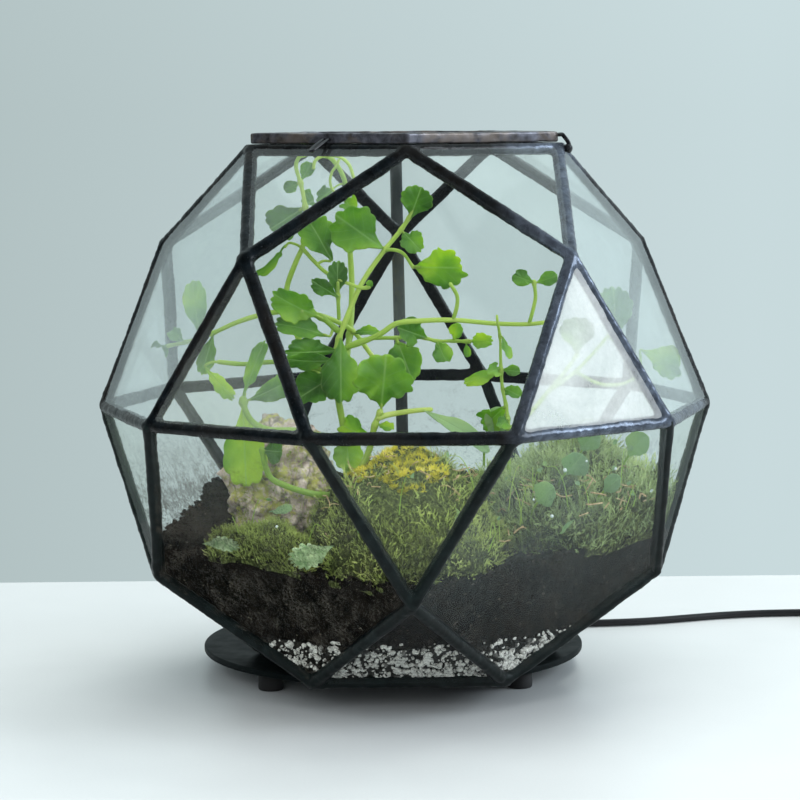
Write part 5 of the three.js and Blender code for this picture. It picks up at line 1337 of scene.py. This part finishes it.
LEAVES = [
    ("a1", "main", (-50.4, -10, 110.6), (-45.4, -8, 120), 7, 10),
    ("a2", "main", (-50.9, -10, 110.3), (-58.4, -12, 106.8), 6.5, -10),
    ("a3", "main", (-48.8, -8, 98.3), (-65.5, -2, 87.4), 17, 15),
    ("a4", "main", (-48.6, -8, 98.8), (-43.8, 2, 101.9), 14, 0),
    ("a5", "main", (-36.2, -10, 71.9), (-46.1, -14, 92.7), 18, -20),
    ("a6", "main", (-11, -12, 78.6), (-32.9, -22, 94.3), 23, 10),
    ("a7", "main", (-34.4, 2, 107.2), (-41.2, -6, 102.1), 9, 20),
    ("a8", "main", (-29, 6, 101.6), (-25.6, 0, 96.9), 9, 0),
    ("a9", "main", (-56.9, -4, 80.5), (-70.8, -14, 64.5), 6.5, 60),
    ("b3", "main", (-33.2, -25, 55.2), (-32.6, -25, 72.2), 9.5, 0),
    ("b4", "main", (-32.7, -25, 55.7), (-44.7, -34, 63.2), 8, 20),
    ("b5", "main", (-18.2, -28, 59.7), (-16.7, -30, 63.2), 3.5, 0),
    ("c1", "main", (-40.6, -28, 45.3), (-61.8, -44, 56.3), 15, 20),
    ("c2", "main", (-36.8, -24, 36.1), (-61.2, -36, 44.1), 13, -25),
    ("c3", "main", (-34, -22, 29.1), (-55.5, -40, 29.4), 13, 10),
    ("c4", "main", (-34, -23, 24.3), (-56.3, -48, 25.9), 10, 40),
    ("c5", "main", (-31.5, -24, 34.6), (-31.7, -36, 6.6), 19, 0),
    ("c6", "main", (-35, -22, 16.4), (-52.1, -30, 6.6), 17, -10),
    ("c7", "main", (-12.4, -38, 0.8), (-9.9, -46, 27.7), 27.5, 0),
    ("c8", "main", (-26.1, 3, 35.3), (-14.2, -6, 37.4), 6, 40),
    ("d1", "main", (-100.2, -21, 35.4), (-104.1, -14, 63.3), 11.5, 5),
    ("d2", "main", (-107.9, -15, 33), (-115.6, -8, 38.4), 7, 0),
    ("d3", "main", (-116.1, -9, 30.6), (-122.7, 0, 29.8), 9, 70),
    ("d4", "main", (-93.5, -26, 38.2), (-98.1, -36, 20.2), 8.5, 20),
    ("d5", "main", (-97.2, -34, 22.9), (-84.4, -44, 8.4), 8, -30),
    ("e1", "main", (-77.9, -62, 8.8), (-68.9, -54, 36.6), 9, 35),
    ("e2", "main", (-77.5, -62, 8.3), (-55.4, -50, 16.9), 11, -20),
    ("e3", "main", (-77.9, -63, 7), (-76.9, -66, -30.7), 20, 0),
    ("e4", "main", (-68.8, -74, -13.1), (-59.5, -74, -14.1), 12, 0),
    ("f1", "main", (2.8, -10, 92.2), (8.2, -12, 107.3), 15.5, 0),
    ("f2", "main", (-1.2, -10, 86.3), (6.8, -24, 78.6), 11, 0),
    ("f3", "main", (3.9, -18, 69.1), (27.1, -36, 69.5), 19, -15),
    ("g1", "main", (9.7, -14, 34.4), (-3.3, -30, 40.3), 14, 0),
    ("g2", "main", (-4.5, -14, 34.1), (2.4, -30, 16.9), 16, 0),
    ("g3", "main", (15.6, -14, 32.4), (19.7, -22, 23.3), 10, 0),
    ("g4", "main", (23.5, -14, 32.4), (25.7, -20, 40.7), 7, 20),
    ("g5", "main", (30.8, -16, 32.5), (41, -26, 33.3), 7.5, 0),
    ("g6", "main", (29.8, -16, 32), (30.8, -14, 24.4), 3.6, 0),
    ("h1", "main", (61.5, -40, 62.3), (51.9, -44, 66.4), 8, 0),
    ("h2", "main", (62, -40, 62.2), (72.4, -42, 65.7), 7, 0),
    ("k1", "main", (-29.9, -24, -10), (-27.6, -30, -28.9), 14, 0),
    ("k2", "main", (-14.8, -36, -5.8), (-6.7, -40, -7.3), 7, 50),
    ("k3", "main", (-16.8, -34, -13.8), (-32.3, -24, -7), 13, 10),
    ("s2", "right", (45.9, -42, 36.5), (49.2, -52, 27.8), 6.5, 50),
    ("s3", "right", (45.5, -40, 20.4), (28.8, -48, 15.1), 6.5, 15),
    ("s4", "right", (45.5, -40, 21.4), (39.6, -52, 20.7), 7, 0),
    ("s5", "right", (46, -40, 20.4), (54, -44, 20.2), 5.5, 10),
    ("s6", "right", (46.5, -40, 11.7), (53.7, -48, 9.1), 7.5, 30),
    ("s7", "right", (48.4, -40, 3.4), (36.3, -20, -11), 13, 0),
    ("s8", "right", (48.9, -40, -2.9), (44.2, -54, -5.6), 7, 0),
    ("n1", "right", (87.4, 20, 21.8), (87.5, 22, 40.4), 17, 0),
    ("n2", "right", (107, 20, 27.5), (106.5, 26, 55.5), 17, 0),
    ("n3", "right", (119, 16, 24.5), (141, 17, 14.5), 16, 0),
]
LIT = {"a6": 0.64, "f3": 0.66, "c7": 0.70, "e3": 1.3, "e1": 0.58, "e2": 0.50, "c1": 0.80, "c2": 0.46, "c3": 0.42, "c5": 0.48, "c6": 0.46, "c4": 0.42, "a3": 0.30, "a4": 0.26, "a5": 0.42, "d5": 1.0, "d4": 0.6,
       "g1": 0.46, "g2": 0.48, "g3": 0.40, "g5": 0.66, "k1": 1.0, "k2": 0.9, "k3": 1.0, "s7": 0.85, "s2": 0.6, "s3": 0.6, "f1": 0.55, "f2": 0.5, "b3": 0.32, "b4": 0.34, "d1": 0.6, "d2": 0.4, "n1": 0.45, "n2": 0.5, "n3": 0.6, "s4": 0.5}
STEM_TONE = {"b1": 0.05, "b2": 0.05, "l1": 0.42, "l2": 0.70, "l3": 0.3, "r1": 0.62, "m3": 0.60, "m5": 0.45}
def outline(phi, teeth, depth, lean, rng):
    """Distance from the leaf's middle to its rim; phi = 0 at the tip, pi at the stalk."""
    a = np.degrees(np.abs(phi))
    base = np.interp(a, [0, 30, 60, 85, 110, 135, 155, 170, 180], [0.43, 0.468, 0.512, 0.505, 0.428, 0.362, 0.375, 0.455, 0.585])
    period = 215.0 / teeth
    k = np.abs(np.cos(np.radians(np.degrees(phi + lean) * 180.0 / period / 1.0)))
    fade = np.clip((128 - a) / 26, 0, 1)
    lobes = depth * (1 - k ** 0.75) * fade
    return base, base * (1 - lobes + 0.35 * depth * fade)
def leaf(bag, B, T, width, roll, tone, rng, teeth=7, depth=0.10, cup=0.16, wave=0.05, bend=0.10, fold=0.10, thick=0.42, shape=1.0, keep=2.3):
    B, T = np.array(B, float), np.array(T, float)
    d = T - B
    L = np.linalg.norm(d)
    d = d / L
    s = unit(np.cross(d, (0, -1, 0.15)))
    n = np.cross(s, d)
    a = math.radians(roll)
    s, n = s * math.cos(a) + n * math.sin(a), n * math.cos(a) - s * math.sin(a)
    rings, cols = 11, 84
    phi = np.linspace(-np.pi, np.pi, cols, endpoint=False)
    lean = rng.uniform(-0.12, 0.12)
    smooth_r, edge_r = outline(phi, teeth, depth, lean, rng)
    if shape != 1.0:
        smooth_r = smooth_r * (1 - (1 - shape) * np.sin(phi) ** 2 * 0.3)
        edge_r = edge_r * (1 - (1 - shape) * np.sin(phi) ** 2 * 0.3)
    ph = rng.uniform(0, 6.28, 3)
    rows = []
    for r in np.linspace(0, 1, rings + 1)[1:] ** 0.85:
        rr = smooth_r * r + (edge_r - smooth_r) * r ** 4
        x = 0.575 + rr * np.cos(phi)
        y = rr * np.sin(phi)
        rows.append(np.stack([x, y, np.full(cols, r)], -1))
    g = np.array(rows)
    X, Y, Rr = g[..., 0], g[..., 1], g[..., 2]
    Wd = width / L
    y = Y * Wd
    h = cup * (np.abs(y) ** 1.7) * 1.3 - bend * (X - 0.3) ** 2 * np.sign(X - 0.3 + 1e-6)
    h += fold * np.abs(y) * 0.8
    h += wave * Rr ** 3 * (np.sin(2 * phi + ph[0]) * 0.6 + np.sin(5 * phi + ph[1]) * 0.4 + np.sin(9 * phi + ph[2]) * 0.25) * Wd
    # veins lie a little sunk, the blade between them swells
    side = np.mod((X - np.abs(Y) * 0.85) * 4.6 + 0.2, 1.0)
    h += 0.006 * np.sin(np.pi * side) * (1 - Rr ** 4) * Wd - 0.016 * np.exp(-(Y / 0.03) ** 2) * (1 - X) * Wd
    P = B + L * (X[..., None] * d + y[..., None] * s + h[..., None] * n)
    c = B + L * (0.575 * d + (-bend * 0.275 ** 2 - 0.007 * Wd) * n)
    t = thick * (1 - 0.72 * Rr ** 3) * 0.5
    top, bot = P + n * t[..., None], P - n * t[..., None]
    m = rings * cols
    v = np.concatenate([top.reshape(-1, 3), bot.reshape(-1, 3), (c + n * thick / 2)[None], (c - n * thick / 2)[None]])
    q1 = grid_faces(rings, cols)
    q2 = grid_faces(rings, cols, flip=True) + m
    j = np.arange(cols)
    k = (j + 1) % cols
    o = (rings - 1) * cols
    rim = np.stack([o + j, o + k, m + o + k, m + o + j], 1)
    tris = np.concatenate([np.stack([np.full(cols, 2 * m), k, j], 1), np.stack([np.full(cols, 2 * m + 1), m + j, m + k], 1)])
    own = np.stack([X, Y, Rr], -1).reshape(-1, 3)
    own = np.concatenate([own, own, [[0.575, 0, 0]], [[0.575, 0, 0]]])
    v = inside(v, keep)
    bag.add(v, np.concatenate([q1, q2, rim]), tris, tone=tone, uv=own)

def leaf_material(name="leaf_blade", pale=0.0):
    m = Mat(name)
    tone = m.attr("tone")
    own = m.split(m.attr("own", "Vector"))
    cloud, fine = m.noise(110, 4, 0.6), m.noise(800, 4, 0.6)
    wide = m.noise(32, 2, 0.5)
    # k: the leaf's tone and noise, and one half lighter than the other (the own[1] term), a painted light as if the
    # fold caught the light on one side
    k = m.math("ADD", m.math("MULTIPLY", tone, 0.86), m.math("ADD", m.math("MULTIPLY", m.math("SUBTRACT", cloud, 0.5), 0.55), m.math("SUBTRACT", m.math("MULTIPLY", m.math("SUBTRACT", wide, 0.5), 2.3), m.math("MULTIPLY", own[1], 0.40))))
    top = m.ramp(k, [(0.0, (0.028, 0.090, 0.012)), (0.35, (0.070, 0.200, 0.022)), (0.62, (0.17, 0.35, 0.040)), (1.0, (0.42, 0.60, 0.05))])
    under = m.ramp(k, [(0.0, (0.16, 0.36, 0.015)), (0.4, (0.30, 0.56, 0.02)), (0.7, (0.48, 0.74, 0.03)), (1.0, (0.72, 0.90, 0.06))])
    # veins from the leaf's own measure
    y = m.math("ABSOLUTE", own[1])
    mid = m.math("POWER", 2.718, m.math("MULTIPLY", m.math("MULTIPLY", y, y), -2600))
    sv = m.math("FRACT", m.math("ADD", m.math("MULTIPLY", m.math("SUBTRACT", m.math("ADD", own[0], m.math("MULTIPLY", m.noise(70, 2, 0.5), 0.10)), m.math("MULTIPLY", y, 0.85)), 4.6), 0.0))
    sv = m.math("ABSOLUTE", m.math("SUBTRACT", sv, 0.5))
    side = m.math("MULTIPLY", m.ramp(sv, [(0.43, 0.0), (0.5, 1.0)]), m.ramp(own[2], [(0.05, 0.0), (0.3, 1.0)]))
    vein = m.math("MAXIMUM", m.math("MULTIPLY", mid, 0.8), m.math("MULTIPLY", side, 0.26))
    top = m.mix(vein, top, m.mix(0.75, top, (0.44, 0.62, 0.24)))
    under = m.mix(m.math("MULTIPLY", vein, 0.5), under, (0.50, 0.74, 0.16))
    # a lighter rim: a painted rim highlight
    edge = m.math("MULTIPLY", m.ramp(own[2], [(0.94, 0.0), (1.0, 1.0)]), 0.45)
    top = m.mix(edge, top, (0.40, 0.56, 0.16))
    # bloom and sheen: milky patches from noise, partly a wax bloom and partly a painted sheen
    bloom_and_sheen = m.math("MULTIPLY", m.ramp(m.noise(30, 4, 0.6, 0.5), [(0.38, 0.0), (0.62, 1.0)]), 0.38)
    top = m.mix(bloom_and_sheen, top, (0.26, 0.44, 0.17))
    if pale:
        top, under = m.mix(pale, top, (0.42, 0.56, 0.40)), m.mix(pale, under, (0.40, 0.56, 0.30))
    nrm = m.bump(m.math("ADD", m.math("MULTIPLY", vein, -0.8), m.math("MULTIPLY", fine, 0.35)), 0.35, 0.0004)
    skin = m.principled(top, m.ramp(fine, [(0.3, 0.36), (0.8, 0.52)]), 0.0, nrm, Specular_IOR_Level=0.35)
    through = m.node("ShaderNodeBsdfTranslucent", Color=under).outputs[0]
    return m.done(m.blend(0.55, skin, through))
def stem_material():
    m = Mat("stem_skin")
    tone = m.attr("tone")
    n, f = m.noise(150, 4, 0.6), m.noise(900, 3, 0.6)
    k = m.math("ADD", m.math("MULTIPLY", tone, 0.8), m.math("MULTIPLY", n, 0.25))
    col = m.ramp(k, [(0.1, (0.14, 0.26, 0.04)), (0.45, (0.30, 0.46, 0.08)), (0.8, (0.52, 0.66, 0.16)), (1.0, (0.74, 0.76, 0.30))])
    skin = m.principled(col, 0.34, 0.0, m.bump(f, 0.25, 0.0002), Specular_IOR_Level=0.5)
    through = m.node("ShaderNodeBsdfTranslucent", Color=m.mix(0.5, col, (0.62, 0.85, 0.05))).outputs[0]
    return m.done(m.blend(0.42, skin, through))
LEAF, LEAF_PALE, STEM = leaf_material(), leaf_material("leaf_low", 0.62), stem_material()
def old_leaf_material():
    """Leaves that lie wet against the pane and have gone pale and speckled."""
    m = Mat("leaf_old")
    a, b = m.noise(210, 6, 0.75, 0.3), m.noise(700, 4, 0.7)
    col = m.mix(m.ramp(a, [(0.38, 0.0), (0.62, 1.0)]), (0.26, 0.42, 0.18), (0.72, 0.84, 0.52))
    col = m.mix(m.ramp(b, [(0.36, 0.8), (0.5, 0.0)]), col, (0.10, 0.15, 0.07))
    return m.done(m.principled(col, 0.55, 0.0, m.bump(b, 0.4, 0.0004), Specular_IOR_Level=0.3))

def nearest_on(lines, p):
    best = None
    for ln in lines:
        k = np.linalg.norm(ln - p, axis=1).argmin()
        dd = np.linalg.norm(ln[k] - p)
        if best is None or dd < best[0]:
            best = (dd, ln, k)
    return best
def plants():
    rng = np.random.default_rng(404)
    for plant, node in (("main", "plant_main"), ("right", "plant_right")):
        lb, sb = Bag(), Bag()
        lines = []
        for n, p, pts, r0, r1 in STEMS:
            if p != plant:
                continue
            line = inside(catmull(pts, 0.9), 3.2)
            r = np.linspace(r0, r1, len(line))
            s = np.linspace(0, 1, len(line))
            z = line[:, 2]
            lines.append(line)
            # nodes: small swellings where leaves leave
            for l in LEAVES:
                if l[1] == plant:
                    dd = np.linalg.norm(line - np.array(l[2]), axis=1)
                    if dd.min() < 5:
                        r = r * (1 + 0.28 * np.exp(-(np.arange(len(line)) - dd.argmin()) ** 2 / 3.0))
            tone = STEM_TONE.get(n, 0.50) + 0.10 * np.sin(s * 9 + len(pts)) + 0.10 * (r.mean() > 1.5) + 0.18 * s
            tt = np.concatenate([np.repeat(np.concatenate([tone[:1]] * 3 + [tone] + [tone[-1:]] * 3), 12), [tone[0], tone[-1]]])
            tube(sb, line, r * (1 + 0.04 * value_noise(line, 4, 3)), 12, tone=tt)
        for n, p, B, T, w, roll in LEAVES:
            if p != plant:
                continue
            tone = LIT.get(n, 0.38) + rng.uniform(-0.04, 0.04)
            L = float(np.linalg.norm(np.array(T) - B))
            small = L < 14
            teeth = int(rng.integers(4, 6)) if small else int(rng.integers(6, 9))
            # a short stalk from the stem to the blade
            d0 = unit(np.array(T) - B)
            hit = nearest_on(lines, np.array(B))
            if hit[0] > 0.4:
                q = hit[1][hit[2]]
                mid = (q + np.array(B)) / 2 + np.array([0, 0, 0.10 * hit[0]])
                tube(sb, catmull([q, mid, B, np.array(B) + d0 * L * 0.12], 0.7), np.linspace(0.75, 0.55, len(catmull([q, mid, B, np.array(B) + d0 * L * 0.12], 0.7))) * (0.7 if small else 1.0), 10, tone=0.6)
            else:
                tube(sb, catmull([B, np.array(B) + d0 * L * 0.07, np.array(B) + d0 * L * 0.14], 0.7), 0.6 if small else 0.8, 10, tone=0.6)
            # a raised midrib under the blade
            leaf(lb, B, T, w * 1.04, roll, tone, rng, teeth=teeth, depth=0.06 if small else rng.uniform(0.11, 0.17), cup=rng.uniform(0.10, 0.55), wave=rng.uniform(0.09, 0.19),
                 bend=rng.uniform(0.05, 0.36), fold=rng.uniform(0.05, 0.34), thick=0.5 if small else 0.6)
        if plant == "main":
            # curled tips under the lid
            for pts, r in (([(-24.5, -6, 112), (-27, -7, 119), (-31.5, -8, 122.6), (-37, -9, 123.4), (-41, -10, 122.6), (-43.5, -10, 120.6), (-44.2, -10, 117.4)], 0.85),
                           ([(-31.5, -4, 103.5), (-35, -5, 106.5), (-36.2, -6, 111), (-35.2, -7, 115.2), (-33, -8, 118.4), (-31.8, -8, 121.0)], 0.7)):
                tube(sb, inside(catmull(pts, 0.8), 3.2), r, 10, tone=0.85)
        build("leaves_" + plant, lb, LEAF, replaces=(node,))
        build("stems_" + plant, sb, STEM, replaces=(node,))
plants()

def loose_growth():
    """Fallen and low leaves on the moss, strands, straw and drops."""
    rng = np.random.default_rng(91)
    lb, sb = Bag(), Bag()
    # (from, to, width, roll, tone)
    for B, T, w, roll, tone in (((40, -26, -14), (47, -30, 0), 13, 0, 0.95),
                                ((60, -74, -40), (66.5, -84, -31), 12.5, 20, 0.55), ((74, -62, -28), (82, -70, -18), 14, -15, 0.5), ((106, -46, -22), (113, -54, -10), 12, 10, 0.45), ((92, -66, -36), (99, -74, -28), 9, 30, 0.42),
                                ((-66, -66, -44), (-56, -74, -41), 8, 60, 0.7), ((14, -96, -46), (22, -100, -39), 7, 40, 0.5), ((84, -40, -20), (90, -46, -9), 12, 5, 0.62), ((70, -88, -52), (78, -94, -47), 7, 60, 0.55)):
        leaf(lb, B, T, w, roll, tone, rng, teeth=5, depth=0.04, cup=0.35, wave=0.05, bend=0.2, thick=0.5)
        q = np.array(B, float)
        d = unit(np.array(T) - q)
        if T[2] > -34:
            tube(sb, catmull([q + d * 1.2, q - d * 2.5 + np.array([0, 1, -0.8]), q - d * 4 + np.array([0, 4, -5]), q - d * 4 + np.array([0, 7, -11])], 1.0), 0.6, 8, tone=0.4)
    old = Bag()
    leaf(old, (-99.5, -69.5, -59.8), (-83, -83.5, -58.8), 12, 12, 0.5, rng, teeth=9, depth=0.30, cup=0.05, wave=0.02, bend=0.02, fold=0.0, thick=0.3, keep=1.38)
    leaf(old, (-36, -118, -52.5), (-56.5, -98.5, -64.5), 14, -12, 0.5, rng, teeth=10, depth=0.32, cup=0.05, wave=0.02, bend=0.02, fold=0.0, thick=0.3, keep=1.38)
    build("leaves_old", old, old_leaf_material())
    # a long pale leaf that arches over the mound to the right
    n = 26
    line = catmull([(-13.5, -37.5, -2.6), (-10.6, -35.6, -1.8), (-7, -34, -1.2), (6, -36, 0.8), (16.1, -38, 1.2), (24, -41, 0.2), (30.3, -44, -2), (36.5, -49, -8), (39, -52, -13)], 1.0)
    tube(sb, line[:29], np.linspace(1.5, 1.1, 29), 10, tone=0.95)
    leaf(lb, line[23], line[-1], 12, 40, 0.80, rng, teeth=5, depth=0.02, cup=0.5, wave=0.03, bend=0.35, thick=0.6, shape=0.6)
    # sprouts and threads that stand in the moss
    for _ in range(34):
        where = rng.random()
        if where < 0.55:
            x, y = rng.uniform(40, 122), rng.uniform(-85, -5)
            z = -58 + 33 * math.sqrt(max(0.02, 1 - ((x - 85) / 52) ** 2 - ((y + 15) / 78) ** 2))
        elif where < 0.8:
            x, y = rng.uniform(-30, 42), rng.uniform(-118, -70)
            z = -62 + 38 * math.sqrt(max(0.02, 1 - (x / 46) ** 2 - ((y + 52) / 72) ** 2))
        else:
            x, y = rng.uniform(-88, -40), rng.uniform(-92, -50)
            z = -64 + 15 * math.sqrt(max(0.02, 1 - ((x + 70) / 30) ** 2 - ((y + 74) / 28) ** 2))
        h = rng.uniform(8, 22)
        lean = rng.uniform(-0.6, 0.6, 2)
        pts = [(x, y, z - 2), (x + lean[0] * h * 0.2, y + lean[1] * h * 0.2, z + h * 0.45), (x + lean[0] * h * 0.6, y + lean[1] * h * 0.6, z + h * 0.85), (x + lean[0] * h * 1.0, y + lean[1] * h, z + h * rng.uniform(0.7, 1.0))]
        ln = inside(catmull(pts, 1.2), 2.4)
        tube(sb, ln, np.linspace(0.30, 0.14, len(ln)), 6, tone=rng.uniform(0.2, 0.75))
        if rng.random() < 0.5:
            a = rng.uniform(0, 6.28)
            T = ln[-1] + np.array([math.cos(a) * 2.5, math.sin(a) * 2.5, rng.uniform(0.5, 2.5)])
            leaf(lb, ln[-1], T, rng.uniform(2, 3.2), rng.uniform(-40, 40), rng.uniform(0.3, 0.8), rng, teeth=4, depth=0.02, thick=0.35)
    build("leaves_low", lb, LEAF_PALE)
    build("stems_low", sb, STEM)
    # straw
    m = Mat("straw")
    col = m.ramp(m.noise(300, 4), [(0.3, (0.30, 0.20, 0.09)), (0.75, (0.66, 0.50, 0.27))])
    straw = m.done(m.principled(col, 0.7, 0.0, m.bump(m.noise(900, 3), 0.4, 0.0003)))
    b = Bag()
    for _ in range(46):
        x, y = rng.uniform(45, 120), rng.uniform(-95, -20)
        z = -57 + 31 * math.sqrt(max(0.02, 1 - ((x - 85) / 52) ** 2 - ((y + 15) / 80) ** 2))
        d = unit(rng.normal(0, 1, 3) * np.array([1, 0.6, 0.6]))
        L = rng.uniform(3, 9)
        p = np.array([x, y, z + 2.0])
        ln = inside(catmull([p - d * L / 2, p + rng.normal(0, 0.8, 3), p + d * L / 2], 1.2), 2.3)
        tube(b, ln, rng.uniform(0.2, 0.45), 6)
    for _ in range(60):
        x, y = rng.uniform(-40, 45), rng.uniform(-100, -10)
        z = -62 + 43 * math.sqrt(max(0.02, 1 - (x / 48) ** 2 - ((y + 52) / 74) ** 2))
        d = unit(rng.normal(0, 1, 3) * np.array([1, 0.6, 0.5]))
        L = rng.uniform(2, 6)
        p = np.array([x, y, z + 1.5])
        tube(b, inside(catmull([p - d * L / 2, p + rng.normal(0, 0.5, 3), p + d * L / 2], 1.2), 2.3), rng.uniform(0.16, 0.35), 6)
    build("straw_bits", b, straw)
    # drops on the moss and the panes' inner sides
    m = Mat("drop")
    wet = m.done(m.principled((0.82, 0.90, 0.88), 0.08, 0.0, None, Specular_IOR_Level=0.8, Alpha=0.75))
    b = Bag()
    v, t = ico(2)
    for x, y, z, r in ((73.2, -80, -23, 0.9), (65.9, -95, -42.5, 0.8), (116.7, -70, -36.2, 1.0), (84, -72, -20, 0.6), (98, -70, -24, 0.7), (-62, -84, -48, 0.7), (20, -110, -48, 0.6), (58, -86, -36, 0.6)):
        b.add(inside(v * r + np.array([x, y, z]), 2.2), tris=t)
    build("drops", b, wet)
loose_growth()
